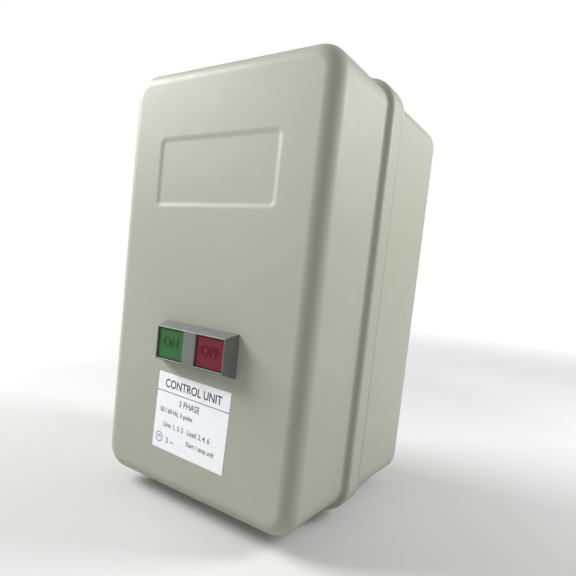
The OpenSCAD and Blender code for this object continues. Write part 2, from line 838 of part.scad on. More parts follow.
module carrier_return_springs() {
    foot = bobbin_front_d + 0.1;
    color(zinc) for (side = [-1, 1]) translate([0, con_y + side * 16.2, foot])
        coil_spring(2.8, 0.4, carrier_d - 0.1 - foot, 7);
}

// Bars from the arcing contacts to the terminals: side is 1 for the line side and -1 for the load side
module fixed_contacts(side) {
    color(brass) for (x = poles) {
        inner = con_y + side * bar_in_y;
        outer = con_y + side * (con_h / 2 - 2);
        difference() {
            block([x - bar_w / 2, min(inner, outer), bar_d],
                  [x + bar_w / 2, max(inner, outer), bar_d + bar_t]);
            peg(term_screw_r + 0.1, bar_d - 1, bar_d + bar_t + 1, x, con_y + side * term_y);
        }
        peg(tip_r, bar_d + bar_t - 0.1, bar_d + bar_t + 1, x, con_y + side * tip_y);
    }
}

module line_contacts() {
    fixed_contacts(1);
}

module load_contacts() {
    fixed_contacts(-1);
}

module main_terminal_screws() {
    color(zinc) for (side = [-1, 1], x = poles) {
        y = con_y + side * term_y;
        saddle_d = bar_d + bar_t + (side < 0 ? link_t + 0.2 : 0.1);
        difference() {
            slab(saddle_w, saddle_w, saddle_d, saddle_d + 1.2, x, y);
            peg(term_screw_r + 0.1, saddle_d - 1, saddle_d + 3, x, y);
        }
        pan_screw(x, y, saddle_d + 1.3, 4.2, 3, term_screw_r, 8 + saddle_d - bar_d, 1.1);
    }
}

module arc_plates() {
    plate_w = 11;
    plate_h = 3.8;
    pitch = 2.6;
    first_d = bridge_d + 5;
    color(zinc) for (x = poles, side = [-1, 1], k = [0:3])
        slab(plate_w, plate_h, first_d + pitch * k, first_d + 1 + pitch * k, x, con_y + side * 20.1);
}

module aux_block() {
    low_x = -con_w / 2 - gap - aux_w;
    high_x = -con_w / 2 - gap;
    bay_len = 10;
    color(cream_plastic) difference() {
        block([low_x, con_y - aux_h / 2, aux_back_d], [high_x, con_y + aux_h / 2, con_front_d]);
        block([low_x + 1.5, con_y - 16, aux_back_d + 26], [high_x + 1, con_y + 16, con_front_d - 2]);
        for (side = [-1, 1]) {
            y = con_y + side * aux_term_y;
            block([low_x - 1, y - bay_len / 2, aux_shelf_d], [high_x - 1, y + bay_len / 2, con_front_d + 1]);
            peg(1.6, aux_shelf_d - 12, aux_shelf_d + 1, aux_term_x, y);
            block([aux_term_x - 0.4, con_y + side * 15 - 3.5, aux_bar_d - 0.1],
                  [aux_contact_x + 2.2, con_y + side * 15 + 3.5, aux_bar_d + 1.1]);
        }
    }
}

module aux_contacts() {
    plate_d = aux_shelf_d + 0.1;
    color(brass) for (side = [-1, 1]) {
        y = con_y + side * aux_term_y;
        block([aux_term_x - 0.2, con_y + side * 12.5 - 5, aux_bar_d],
              [aux_contact_x + 2, con_y + side * 12.5 + 5, aux_bar_d + 1]);
        peg(1.5, aux_bar_d + 0.9, aux_bar_d + 1.8, aux_contact_x, con_y + side * aux_tip_y);
        difference() {
            slab(7, 7, plate_d, plate_d + 0.9, aux_term_x, y);
            peg(1.6, plate_d - 1, plate_d + 2, aux_term_x, y);
        }
        pan_screw(aux_term_x, y, plate_d + 1, 2.8, 2, 1.5, 9, 0.8);
    }
}

// ---- overload relay ----

module relay_housing() {
    floor_d = rel_back_d + 3;
    in_x = rel_w / 2 - rel_wall;
    in_top = rel_top - rel_wall;
    in_bottom = slide_y + 1.5;
    guide_d = 56;
    ledge_d = 76;
    color(black_plastic) difference() {
        union() {
            difference() {
                block([-rel_w / 2, rel_bottom, rel_back_d], [rel_w / 2, rel_top, rel_front_d]);
                block([-in_x, in_bottom, floor_d], [in_x, in_top, rel_front_d + 1]);
                // Channel for the trip slide
                block([-in_x, slide_y - slide_h / 2 - gap, heater_d - slide_depth / 2 - gap],
                      [in_x, in_bottom + 1, rel_bay_d - 4]);
            }
            // Ledge that carries the bimetal strips, and ledge under the small terminals
            block([-in_x - 1, strip_top + 4, heater_d - 5], [in_x + 1, rel_top - 1, heater_d + 5]);
            block([rel_aux_x[0] - 4, rel_aux_y - 4, ledge_d], [in_x + 1, rel_top - 1, rel_aux_d]);
            // Bridge that guides the reset plunger, and pin for the rocker
            block([-in_x - 1, bezel_y - 4, guide_d], [in_x + 1, bezel_y + 4, reset_spring_d]);
            peg(rocker_pin_r, floor_d - 1, heater_d + 6, rocker_x, slide_y + rocker_arm);
        }
        peg(2 + running, guide_d - 1, reset_spring_d + 1, off_x, bezel_y);
        for (x = rel_aux_x) peg(1.5, ledge_d + 0.5, rel_aux_d + 1, x, rel_aux_y);
        for (x = poles) {
            block([x - bay_w / 2, rel_bottom - 1, rel_bay_d], [x + bay_w / 2, rel_bay_top, rel_front_d + 1]);
            block([x - 4.2, rel_bay_top - 1, rel_bay_d], [x + 4.2, rel_bay_top + 4, rel_bay_d + 2]);
            peg(m4_r + 0.1, rel_bay_d - 3.8, rel_bay_d + 1, x, rel_term_y);
            block([x - 4.7, rel_top - 5, bar_d + bar_t], [x + 4.7, rel_top + 1, bar_d + bar_t + 2]);
        }
    }
}

module relay_front() {
    in_bottom = slide_y + 1.5;
    color([0.22, 0.23, 0.25]) difference() {
        block([-rel_w / 2, in_bottom, rel_front_d], [rel_w / 2, rel_top, rel_front_d + rel_plate_t]);
        peg(reset_r + running, rel_front_d - 1, rel_front_d + 5, off_x, bezel_y);
        peg(dial_r + 0.1, rel_front_d + 0.6, rel_front_d + 5, dial_x, dial_y);
        peg(2.1, rel_front_d - 1, rel_front_d + 5, dial_x, dial_y);
        for (x = rel_aux_x) peg(3.2, rel_front_d - 1, rel_front_d + 5, x, rel_aux_y);
    }
}

module relay_link_bars() {
    link_d = bar_d + bar_t + 0.1;
    color(copper) for (x = poles) {
        difference() {
            block([x - 4.5, link_foot_y, link_d], [x + 4.5, con_y - term_y + 4, link_d + link_t]);
            peg(term_screw_r + 0.2, link_d - 1, link_d + 3, x, con_y - term_y);
            block([x - term_screw_r - 0.2, con_y - term_y, link_d - 1],
                  [x + term_screw_r + 0.2, con_y, link_d + 3]);
        }
        block([x - 3, link_foot_y, heater_d + heater_r + 1], [x + 3, link_foot_y + link_t, link_d + 0.1]);
    }
}

module bimetal_strips() {
    color([0.66, 0.66, 0.62]) for (x = poles) {
        block([x - strip_t / 2, strip_bottom, heater_d - strip_w / 2],
              [x + strip_t / 2, strip_top, heater_d + strip_w / 2]);
        block([x - 3, strip_top - 0.1, heater_d - 4], [x + 3, strip_top + 4, heater_d + 4]);
    }
}

module heater_windings() {
    pitch = 3;
    color(copper) for (x = poles, k = [0:heater_turns - 1])
        translate([x, strip_top - 4 - pitch * k, heater_d]) rotate([90, 0, 0])
            rotate_extrude() translate([heater_r - 0.2, 0]) circle(0.5, $fn = 24);
}

module relay_terminals() {
    color(brass) {
        for (x = poles) difference() {
            union() {
                block([x - 4, rel_term_y - 5, rel_tab_d], [x + 4, tab_foot_y, rel_tab_d + rel_tab_t]);
                block([x - 3, tab_foot_y - rel_tab_t, heater_d + heater_r + 1],
                      [x + 3, tab_foot_y, rel_tab_d + 0.1]);
            }
            peg(m4_r + 0.1, rel_bay_d - 1, rel_bay_d + 3, x, rel_term_y);
        }
        for (x = rel_aux_x) difference() {
            slab(6.4, 6, rel_aux_d, rel_aux_d + 1, x, rel_aux_y);
            peg(1.5, rel_aux_d - 1, rel_aux_d + 2, x, rel_aux_y);
        }
    }
}

module relay_terminal_screws() {
    color(zinc) {
        for (x = poles) pan_screw(x, rel_term_y, rel_bay_d + 3, 4, 2.8, m4_r, 6.5, 1);
        for (x = rel_aux_x) pan_screw(x, rel_aux_y, rel_aux_d + 1.1, 2.6, 2, 1.4, 4, 0.8);
    }
}

module trip_slide() {
    notch = strip_t + slide_travel + 1.2;
    color([0.85, 0.80, 0.62]) difference() {
        block([slide_left_x, slide_y - slide_h / 2, heater_d - slide_depth / 2],
              [slide_right_x, slide_y + slide_h / 2, heater_d + slide_depth / 2]);
        for (x = poles)
            block([x - notch + 1, slide_y - slide_h, heater_d - strip_w / 2 - 0.6],
                  [x + 1, slide_y + slide_h, heater_d + strip_w / 2 + 0.6]);
    }
}

module trip_rocker() {
    arm_w = 3;
    color([0.85, 0.80, 0.62]) difference() {
        union() {
            peg(2.6, heater_d - 5, heater_d + 5, rocker_x, slide_y + rocker_arm);
            block([rocker_x - arm_w / 2, slide_y - 1.2, heater_d - 4],
                  [rocker_x + arm_w / 2, slide_y + rocker_arm + 9, heater_d + 4]);
        }
        peg(rocker_pin_r + running, heater_d - 6, heater_d + 6, rocker_x, slide_y + rocker_arm);
    }
}

module reset_plunger() {
    color([0.12, 0.25, 0.55]) {
        peg(reset_r, reset_collar_d, reset_tip_d, off_x, bezel_y);
        peg(2, reset_spring_d - 6, reset_collar_d + 0.1, off_x, bezel_y);
        peg(reset_r + 1.5, reset_collar_d, rel_front_d - gap, off_x, bezel_y);
    }
}

module reset_spring() {
    color(zinc) translate([off_x, bezel_y, reset_spring_d + 0.1])
        coil_spring(3, 0.4, reset_collar_d - reset_spring_d - 0.2, 5);
}

module setting_dial() {
    color([0.88, 0.86, 0.78]) difference() {
        union() {
            peg(dial_r, rel_front_d + 0.8, dial_front_d, dial_x, dial_y);
            peg(2, rel_front_d - 8, rel_front_d + 1, dial_x, dial_y);
        }
        slab(1.4, dial_r * 1.3, dial_front_d - 1.2, dial_front_d + 1, dial_x, dial_y);
        peg(0.9, dial_front_d - 0.6, dial_front_d + 1, dial_x, dial_y + dial_r - 1.4);
    }
}

// ---- start switch ----

module start_switch_bracket() {
    arm_d = sw_back_d - 0.1;
    color(zinc) difference() {
        union() {
            block([bracket_x - bracket_foot, sw_y - bracket_h / 2, plate_face],
                  [bracket_x, sw_y + bracket_h / 2, plate_face + bracket_t]);
            block([bracket_x - bracket_t, sw_y - bracket_h / 2, plate_face],
                  [bracket_x, sw_y + bracket_h / 2, arm_d]);
            block([bracket_x - bracket_t, sw_y - bracket_h / 2, arm_d - bracket_t],
                  [on_x + sw_w / 2, sw_y + bracket_h / 2, arm_d]);
        }
        peg(m4_r + 0.1, plate_face - 1, plate_face + 5, bracket_x - bracket_foot / 2, sw_y);
    }
    color(zinc) pan_screw(bracket_x - bracket_foot / 2, sw_y, plate_face + bracket_t, 3.6, 2.4, m4_r, 5);
}

module start_switch_body() {
    color([0.20, 0.21, 0.23]) difference() {
        slab(sw_w, sw_h, sw_back_d, sw_front_d, on_x, sw_y);
        slab(sw_w - 2 * sw_wall, sw_h - 2 * sw_wall, sw_back_d + sw_wall, sw_front_d - sw_wall, on_x, sw_y);
        peg(plunger_r + running, sw_front_d - sw_wall - 1, sw_front_d + 1, on_x, sw_y);
        for (side = [-1, 1])
            slab(5, sw_wall + 2, sw_back_d + 4, sw_back_d + 5.2, on_x, sw_y + side * (sw_h / 2 - 1));
    }
}

module start_plunger() {
    color([0.85, 0.85, 0.82]) {
        peg(plunger_r, contact_bar_d + contact_bar_t, plunger_tip_d, on_x, sw_y);
        peg(4.5, sw_front_d - sw_wall - 2.1, sw_front_d - sw_wall - 0.1, on_x, sw_y);
    }
    color(copper) slab(5, 14, contact_bar_d, contact_bar_d + contact_bar_t, on_x, sw_y);
}

module start_plunger_spring() {
    foot = sw_back_d + sw_wall + 0.1;
    color(zinc) translate([on_x, sw_y, foot]) coil_spring(1.6, 0.3, contact_bar_d - 0.1 - foot, 5);
}

module start_switch_terminals() {
    color(brass) for (side = [-1, 1]) {
        mid_y = sw_y + side * (sw_h / 2);
        difference() {
            slab(4.8, 10.5, sw_back_d + 4.1, sw_back_d + 5.1, on_x, mid_y);
            peg(1.3, sw_back_d, sw_back_d + 8, on_x, sw_y + side * sw_term_y);
        }
        pan_screw(on_x, sw_y + side * sw_term_y, sw_back_d + 5.2, 2.3, 1.8, 1.2, 4, 0.7);
    }
}

function unit(v) = v / norm(v);

// Turns each corner of a route into a short curve
function eased(p, reach, steps) = [
    p[0],
    for (i = [1:len(p) - 2])
        let (a = p[i] + reach * unit(p[i - 1] - p[i]), b = p[i] + reach * unit(p[i + 1] - p[i]))
            for (k = [0:steps]) let (t = k / steps) (1 - t)^2 * a + 2 * t * (1 - t) * p[i] + t^2 * b,
    p[len(p) - 1]
];

// Normal of the plane in which the tube is cut at point i
function cut_normal(p, i) = unit(
    (i > 0 ? unit(p[i] - p[i - 1]) : [0, 0, 0]) + (i < len(p) - 1 ? unit(p[i + 1] - p[i]) : [0, 0, 0]));

// Carries a ring along the tube: each corner slides along the segment to the next cutting plane
function next_ring(p, ring, i) =
    let (d = unit(p[i] - p[i - 1]), n = cut_normal(p, i))
        [for (q = ring) q + d * ((p[i] - q) * n) / (d * n)];

function rings(p, ring, i) = i == len(p) ? [] :
    let (new = next_ring(p, ring, i)) concat([new], rings(p, new, i + 1));

// Insulated wire along a route
module wire(route) {
    sides = 8;
    p = eased(route, 3, 4);
    d = unit(p[1] - p[0]);
    u = unit(cross(d, abs(d[2]) < 0.9 ? [0, 0, 1] : [1, 0, 0]));
    v = cross(d, u);
    first = [for (j = [0:sides - 1]) p[0] + wire_r * (cos(360 * j / sides) * u + sin(360 * j / sides) * v)];
    points = [for (ring = concat([first], rings(p, first, 1))) each ring];
    last = (len(p) - 1) * sides;
    skin = [for (i = [0:len(p) - 2], j = [0:sides - 1]) let (k = (j + 1) % sides)
        each [[i * sides + j, (i + 1) * sides + k, i * sides + k],
              [i * sides + j, (i + 1) * sides + j, (i + 1) * sides + k]]];
    polyhedron(points, concat(skin,
        [[for (j = [0:sides - 1]) j], [for (j = [sides - 1:-1:0]) last + j]]));
}

module control_wires() {
    coil_left = [-coil_term_x, coil_term_y];
    coil_right = [coil_term_x, coil_term_y];
    aux_upper = [aux_term_x, con_y + aux_term_y];
    aux_lower = [aux_term_x, con_y - aux_term_y];
    start_upper = [on_x, sw_y + sw_term_y];
    start_lower = [on_x, sw_y - sw_term_y];
    trip_left = [rel_aux_x[0], rel_aux_y];
    trip_right = [rel_aux_x[3], rel_aux_y];
    coil_head = 51.5;
    small_head = 83.4;
    start_head = 105;
    routes = [
        [[each coil_left, coil_head], [each coil_left, 58], [-25, 103, 62], [-58, 103, 62], [-58, 68, 90],
         [each aux_upper, 94], [each aux_upper, small_head]],
        [[each aux_lower, small_head], [each aux_lower, 95], [-56, 14, 95], [-56, -10, 100],
         [-30, -18, 108], [each start_upper, 111], [each start_upper, start_head]],
        [[each coil_right, coil_head], [each coil_right, 58], [25, 103, 62], [56, 103, 62], [56, 10, 90],
         [29, -5, 98], [each trip_right, 97], [each trip_right, small_head]],
        [[each trip_left, small_head], [each trip_left, 98], [0, -30, 102], [0, start_lower[1], 106],
         [each start_lower, 111], [each start_lower, start_head]],
    ];
    colours = ["black", "firebrick", "gold", "white"];
    for (i = [0:len(routes) - 1]) color(colours[i]) wire(routes[i]);
}

upright() rear_box();
upright() cover_seal();
upright() gland_plate();
upright() gland_plate_screws();
upright() cable_grommets();
upright() hinge_brackets();
upright() hinge_pins();
upright() cover_screw_nut();
upright() cover_screw();
upright() mounting_plate();
upright() plate_spacers();
upright() mounting_screws();
upright() earth_terminal();
upright() front_cover();
upright() cover_hinge_hooks();
upright() rating_label();
upright() button_bezel();
upright() bezel_clamp();
upright() bezel_clamp_screw();
upright() on_button();
upright() off_button();
upright() on_button_spring();
upright() off_button_spring();
upright() contactor_base();
upright() contactor_body();
upright() fixed_core();
upright() core_cushion();
upright() shading_rings();
upright() coil_bobbin();
upright() coil_winding();
upright() coil_terminals();
upright() moving_core();
upright() contact_carrier();
upright() moving_contacts();
upright() contact_springs();
upright() carrier_return_springs();
upright() line_contacts();
upright() load_contacts();
upright() main_terminal_screws();
upright() arc_plates();
upright() aux_block();
upright() aux_contacts();
upright() relay_housing();
upright() relay_front();
upright() relay_link_bars();
upright() bimetal_strips();
upright() heater_windings();
upright() relay_terminals();
upright() relay_terminal_screws();
upright() trip_slide();
upright() trip_rocker();
upright() reset_plunger();
upright() reset_spring();
upright() setting_dial();
upright() start_switch_bracket();
upright() start_switch_body();
upright() start_plunger();
upright() start_plunger_spring();
upright() start_switch_terminals();
upright() control_wires();
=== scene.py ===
import json
from math import cos, pi, radians, sin, sqrt

import bmesh
import bpy
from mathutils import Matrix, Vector


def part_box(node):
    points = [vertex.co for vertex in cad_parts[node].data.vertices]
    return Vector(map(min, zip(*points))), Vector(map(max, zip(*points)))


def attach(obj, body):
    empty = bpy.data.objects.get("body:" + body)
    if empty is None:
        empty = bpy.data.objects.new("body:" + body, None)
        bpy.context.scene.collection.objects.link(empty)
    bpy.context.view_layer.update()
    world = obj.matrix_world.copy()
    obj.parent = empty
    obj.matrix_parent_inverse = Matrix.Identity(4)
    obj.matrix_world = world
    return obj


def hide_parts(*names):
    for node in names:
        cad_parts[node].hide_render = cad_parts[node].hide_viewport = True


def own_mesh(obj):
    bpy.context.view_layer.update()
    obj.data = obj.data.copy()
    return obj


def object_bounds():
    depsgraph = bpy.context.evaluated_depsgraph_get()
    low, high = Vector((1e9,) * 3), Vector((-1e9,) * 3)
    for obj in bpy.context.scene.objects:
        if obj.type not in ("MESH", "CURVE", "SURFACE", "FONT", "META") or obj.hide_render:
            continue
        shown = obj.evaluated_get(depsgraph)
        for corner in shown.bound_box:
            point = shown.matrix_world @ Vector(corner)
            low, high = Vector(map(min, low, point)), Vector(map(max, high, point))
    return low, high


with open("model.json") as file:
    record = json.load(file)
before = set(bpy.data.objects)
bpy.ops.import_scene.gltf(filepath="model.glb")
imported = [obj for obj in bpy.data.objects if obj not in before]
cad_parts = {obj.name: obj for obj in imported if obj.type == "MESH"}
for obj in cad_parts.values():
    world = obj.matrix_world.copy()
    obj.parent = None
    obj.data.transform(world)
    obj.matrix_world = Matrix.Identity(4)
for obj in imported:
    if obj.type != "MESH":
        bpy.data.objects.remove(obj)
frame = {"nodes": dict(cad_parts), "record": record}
cad_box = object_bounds()

MM = 0.001
NEAR = 0.01 * MM         # places closer than this count as the same
WELD = 0.002 * MM        # corners closer than this are merged
PAST = 5 * MM            # how far a cutter reaches past the wall it cuts
OVERLAP = 0.1 * MM       # how far joined parts of one piece run into each other


def middle_of(node):
    low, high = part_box(node)
    return (low + high) / 2


# ---- sizes, from the frame ----

cover_low, cover_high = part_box("front_cover")
box_low, box_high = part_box("rear_box")
bezel_low, bezel_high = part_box("button_bezel")
label_low, label_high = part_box("rating_label")

SHEET = 1.2 * MM
SKIRT_OUT = 4 * MM
SKIRT_LENGTH = 11 * MM
STEP_LENGTH = 7 * MM
FRONT_RADIUS = 10 * MM
REAR_RADIUS = 6 * MM
CORNER_RADIUS = 17 * MM
BODY_WIDTH = cover_high.x - cover_low.x - 2 * SKIRT_OUT
BODY_HEIGHT = cover_high.z - cover_low.z - 2 * SKIRT_OUT
FRONT_Y = label_high.y
JOINT_Y = cover_high.y
NECK_Y = box_low.y
BEAD_OUT = 3.6 * MM
BEAD_HEIGHT = 5 * MM
BEAD_Y = JOINT_Y + 0.5 * MM

PANEL_WIDTH = 96.5 * MM
PANEL_HEIGHT = 43.5 * MM
PANEL_Z = 69.3 * MM
PANEL_DEPTH = 0.65 * MM
PANEL_CORNER = 4.5 * MM
PANEL_SLOPE = 2.5 * MM

SCREW_Y = middle_of("cover_screw").y
SCREW_SLOT_R = 2.5 * MM
SCREW_HOLE_R = 2.3 * MM

WALL_HOLE_X = 55 * MM
WALL_HOLE_Z = 110 * MM
WALL_HOLE_R = 2.75 * MM
ENTRY_X = 38 * MM
ENTRY_Y = -36 * MM
ENTRY_R = 11 * MM
WINDOW_X = 54 * MM       # half width and half depth of the window under the gland plate
WINDOW_Y = 17 * MM

BEZEL_X = (bezel_low.x + bezel_high.x) / 2
BEZEL_Z = (bezel_low.z + bezel_high.z) / 2
BEZEL_WIDTH = 56 * MM
BEZEL_HEIGHT = 20.6 * MM
BEZEL_FLARE = 2.8 * MM
BEZEL_RIM = 0.5 * MM


# ---- modelling by hand ----

def deselect():
    bpy.ops.object.select_all(action="DESELECT")


def edit():
    bpy.ops.object.mode_set(mode="EDIT")


def leave():
    bpy.ops.object.mode_set(mode="OBJECT")


def merge(distance=WELD):
    """Merges the doubled corners of the edited mesh."""
    bpy.ops.mesh.select_all(action="SELECT")
    bpy.ops.mesh.remove_doubles(threshold=distance)


def named(name):
    """The piece just added, under its own name."""
    piece = bpy.context.active_object
    piece.name = name
    piece.data.name = name
    return piece


def work_on(piece):
    deselect()
    piece.select_set(True)
    bpy.context.view_layer.objects.active = piece


def settle(piece):
    """Puts the piece's place, turn and size into its mesh."""
    work_on(piece)
    bpy.ops.object.transform_apply(location=True, rotation=True, scale=True)
    return piece


def pick(kind, test):
    """Selects the faces, edges or verts of the edited mesh that pass the test, and nothing else."""
    bpy.ops.mesh.select_mode(type={"faces": "FACE", "edges": "EDGE", "verts": "VERT"}[kind])
    bpy.ops.mesh.select_all(action="DESELECT")
    mesh = bpy.context.edit_object.data
    shape = bmesh.from_edit_mesh(mesh)
    shape.normal_update()
    for part in getattr(shape, kind):
        if test(part):
            part.select_set(True)
    shape.select_flush_mode()
    bmesh.update_edit_mesh(mesh)


def middle(edge):
    return (edge.verts[0].co + edge.verts[1].co) / 2


def bend(edge):
    """Angle between the two faces at an edge, or nothing at an open edge."""
    return edge.calc_face_angle(0) if len(edge.link_faces) == 2 else 0


def rounded_plate(name, width, height, radius, y, x=0.0, z=0.0, forward=True, steps=10):
    """A face with rounded corners, left in edit mode with the face selected."""
    deselect()
    turn = radians(90 if forward else -90)
    bpy.ops.mesh.primitive_plane_add(size=1, location=(x, y, z), rotation=(turn, 0, 0))
    piece = named(name)
    piece.scale = (width, height, 1)
    settle(piece)
    edit()
    bpy.ops.mesh.select_all(action="SELECT")
    if radius:
        bpy.ops.mesh.bevel(offset=radius, segments=steps, profile=0.5, affect="VERTICES")
        pick("faces", lambda face: True)
    return piece


def carry_on(inward, along, forward=True):
    """Takes the selected face further: inward makes it smaller all round, along moves it."""
    if inward > 0:
        bpy.ops.mesh.inset(thickness=inward, depth=along, use_even_offset=True, use_boundary=True)
    else:
        way = -along if forward else along
        bpy.ops.mesh.extrude_region_move(TRANSFORM_OT_translate={"value": (0, way, 0)})


def follow(profile, forward=True):
    """Takes the selected face along a profile of (inward, along) places counted from its start."""
    inward, along = 0.0, 0.0
    for new_inward, new_along in profile:
        carry_on(new_inward - inward, new_along - along, forward)
        inward, along = new_inward, new_along


def quarter_round(radius, steps, inward=0.0, along=0.0):
    """Profile of a convex edge that turns from the wall into the face."""
    angles = [pi / 2 * k / steps for k in range(1, steps + 1)]
    return [(inward + radius * (1 - cos(a)), along + radius * sin(a)) for a in angles]


def modify(piece, kind, **settings):
    work_on(piece)
    modifier = piece.modifiers.new(kind.lower(), kind)
    for key, value in settings.items():
        setattr(modifier, key, value)
    bpy.ops.object.modifier_apply(modifier=modifier.name)


def cut(piece, cutter, operation="DIFFERENCE"):
    modify(piece, "BOOLEAN", object=cutter, operation=operation, solver="EXACT")
    bpy.data.objects.remove(cutter, do_unlink=True)


def bar(low, high, name="bar"):
    """Block between two opposite corners."""
    deselect()
    low, high = Vector(low), Vector(high)
    bpy.ops.mesh.primitive_cube_add(size=1, location=(low + high) / 2)
    piece = named(name)
    piece.scale = high - low
    return settle(piece)


def rod(radius, start, end, vertices=32):
    deselect()
    start, end = Vector(start), Vector(end)
    span = end - start
    turn = span.to_track_quat("Z", "Y").to_euler()
    bpy.ops.mesh.primitive_cylinder_add(
        vertices=vertices, radius=radius, depth=span.length, location=(start + end) / 2, rotation=turn)
    return settle(named("rod"))


def copied(piece, offset):
    """The same shape again, with its own mesh, moved by the offset."""
    twin = piece.copy()
    twin.data = piece.data.copy()
    bpy.context.scene.collection.objects.link(twin)
    twin.location = offset
    return settle(twin)


def join(name, pieces):
    deselect()
    for piece in pieces:
        piece.select_set(True)
    bpy.context.view_layer.objects.active = pieces[0]
    bpy.ops.object.join()
    return named(name)


def smooth(piece, angle=35, weighted=True):
    work_on(piece)
    bpy.ops.object.shade_smooth_by_angle(angle=radians(angle))
    if weighted:
        modify(piece, "WEIGHTED_NORMAL", mode="FACE_AREA", weight=80, keep_sharp=True)


# ---- materials ----

def plain(name, colour, roughness, metallic=0.0):
    material = bpy.data.materials.new(name)
    material.use_nodes = True
    shader = material.node_tree.nodes["Principled BSDF"]
    shader.inputs["Base Color"].default_value = (*colour, 1)
    shader.inputs["Roughness"].default_value = roughness
    shader.inputs["Metallic"].default_value = metallic
    return material


def set_reflectance(material, level):
    """How strongly the surface mirrors what it faces."""
    material.node_tree.nodes["Principled BSDF"].inputs["Specular IOR Level"].default_value = level


def spread(material, pattern, low, high, start=0.3, end=0.7):
    """Turns the part of a pattern between start and end into values from low to high."""
    tree = material.node_tree
    span = tree.nodes.new("ShaderNodeMapRange")
    span.inputs["From Min"].default_value = start
    span.inputs["From Max"].default_value = end
    span.inputs["To Min"].default_value = low
    span.inputs["To Max"].default_value = high
    tree.links.new(pattern, span.inputs["Value"])
    return span.outputs["Result"]


def noise(material, scale, detail=3.0, stretch=(1, 1, 1)):
    tree = material.node_tree
    place = tree.nodes.new("ShaderNodeTexCoord")
    mapping = tree.nodes.new("ShaderNodeMapping")
    mapping.inputs["Scale"].default_value = stretch
    texture = tree.nodes.new("ShaderNodeTexNoise")
    texture.inputs["Scale"].default_value = scale
    texture.inputs["Detail"].default_value = detail
    tree.links.new(place.outputs["Object"], mapping.inputs["Vector"])
    tree.links.new(mapping.outputs["Vector"], texture.inputs["Vector"])
    return texture.outputs["Fac"]


def mottle(material, pattern, dark, light, start=0.3, end=0.7):
    """Colours the surface from dark to light along the pattern."""
    tree = material.node_tree
    ramp = tree.nodes.new("ShaderNodeValToRGB")
    ramp.color_ramp.elements[0].position = start
    ramp.color_ramp.elements[1].position = end
    ramp.color_ramp.elements[0].color = (*dark, 1)
    ramp.color_ramp.elements[1].color = (*light, 1)
    tree.links.new(pattern, ramp.inputs["Fac"])
    tree.links.new(ramp.outputs["Color"], tree.nodes["Principled BSDF"].inputs["Base Color"])


def gloss_spread(material, pattern, low, high):
    """Varies the roughness from low to high along the pattern."""
    tree = material.node_tree
    roughness = tree.nodes["Principled BSDF"].inputs["Roughness"]
    tree.links.new(spread(material, pattern, low, high), roughness)


def relief(material, pattern, depth, strength=1.0):
    """Raises the surface by the pattern, on top of any relief that is there already."""
    tree = material.node_tree
    bump = tree.nodes.new("ShaderNodeBump")
    bump.inputs["Distance"].default_value = depth
    bump.inputs["Strength"].default_value = strength
    normal = tree.nodes["Principled BSDF"].inputs["Normal"]
    if normal.is_linked:
        tree.links.new(normal.links[0].from_socket, bump.inputs["Normal"])
    tree.links.new(pattern, bump.inputs["Height"])
    tree.links.new(bump.outputs["Normal"], normal)


def shade(colour, amount):
    return tuple(min(1.0, part * amount) for part in colour)


def worn(material, colour, amount, scale=30, stretch=(1, 1, 9), start=0.60):
    """Rubbed streaks of another colour over the colour that is there already."""
    tree = material.node_tree
    streaks = noise(material, scale, 8, stretch)
    mask = spread(material, streaks, 0.0, amount, start, start + 0.12)
    mixed = tree.nodes.new("ShaderNodeMixRGB")
    mixed.inputs["Color2"].default_value = (*colour, 1)
    base = tree.nodes["Principled BSDF"].inputs["Base Color"]
    tree.links.new(mask, mixed.inputs["Fac"])
    tree.links.new(base.links[0].from_socket, mixed.inputs["Color1"])
    tree.links.new(mixed.outputs["Color"], base)


def paint(name, colour):
    """Baked enamel: nearly even colour, fine orange peel and a slow ripple of the pressed sheet."""
    material = plain(name, colour, 0.50)
    set_reflectance(material, 0.30)
    mottle(material, noise(material, 9, 4), shade(colour, 0.975), shade(colour, 1.02))
    gloss_spread(material, noise(material, 60, 5), 0.46, 0.54)
    relief(material, noise(material, 16, 1), 0.25 * MM, 0.35)
    relief(material, noise(material, 900, 2), 0.012 * MM, 0.5)
    worn(material, shade(colour, 1.25), 0.10, 24, (1, 1, 5))
    worn(material, shade(colour, 0.55), 0.10, 70, (3, 3, 1), 0.66)
    return material


def moulded(name, colour, roughness=0.45, grain=0.02):
    """Moulded plastic with a fine spark-eroded grain and faint flow marks."""
    material = plain(name, colour, roughness)
    mottle(material, noise(material, 40, 4, (1, 1, 3)), shade(colour, 0.93), shade(colour, 1.06))
    gloss_spread(material, noise(material, 150, 4), roughness - 0.06, roughness + 0.08)
    relief(material, noise(material, 1800, 2), grain * MM, 0.6)
    worn(material, shade(colour, 1.7), 0.16, 60, (1, 1, 6))
    return material


def metal(name, colour, roughness=0.32, stretch=(1, 1, 12)):
    """Bare or plated metal, with drawn or rolled lines along one way and dull patches."""
    material = plain(name, colour, roughness, metallic=1.0)
    mottle(material, noise(material, 55, 5), shade(colour, 0.80), shade(colour, 1.05))
    gloss_spread(material, noise(material, 90, 4), roughness - 0.08, roughness + 0.14)
    relief(material, noise(material, 900, 3, stretch), 0.008 * MM, 0.7)
    worn(material, shade(colour, 0.45), 0.35, 120, (2, 2, 1), 0.58)
    return material


def laminated(name, colour):
    """Stack of thin iron plates: dark and light lines across the stack."""
    material = plain(name, colour, 0.5, metallic=0.8)
    plates = noise(material, 700, 2, (0.02, 0.02, 3))
    mottle(material, plates, shade(colour, 0.55), shade(colour, 1.1))
    gloss_spread(material, noise(material, 80, 4), 0.4, 0.6)
    relief(material, plates, 0.05 * MM, 0.8)
    return material


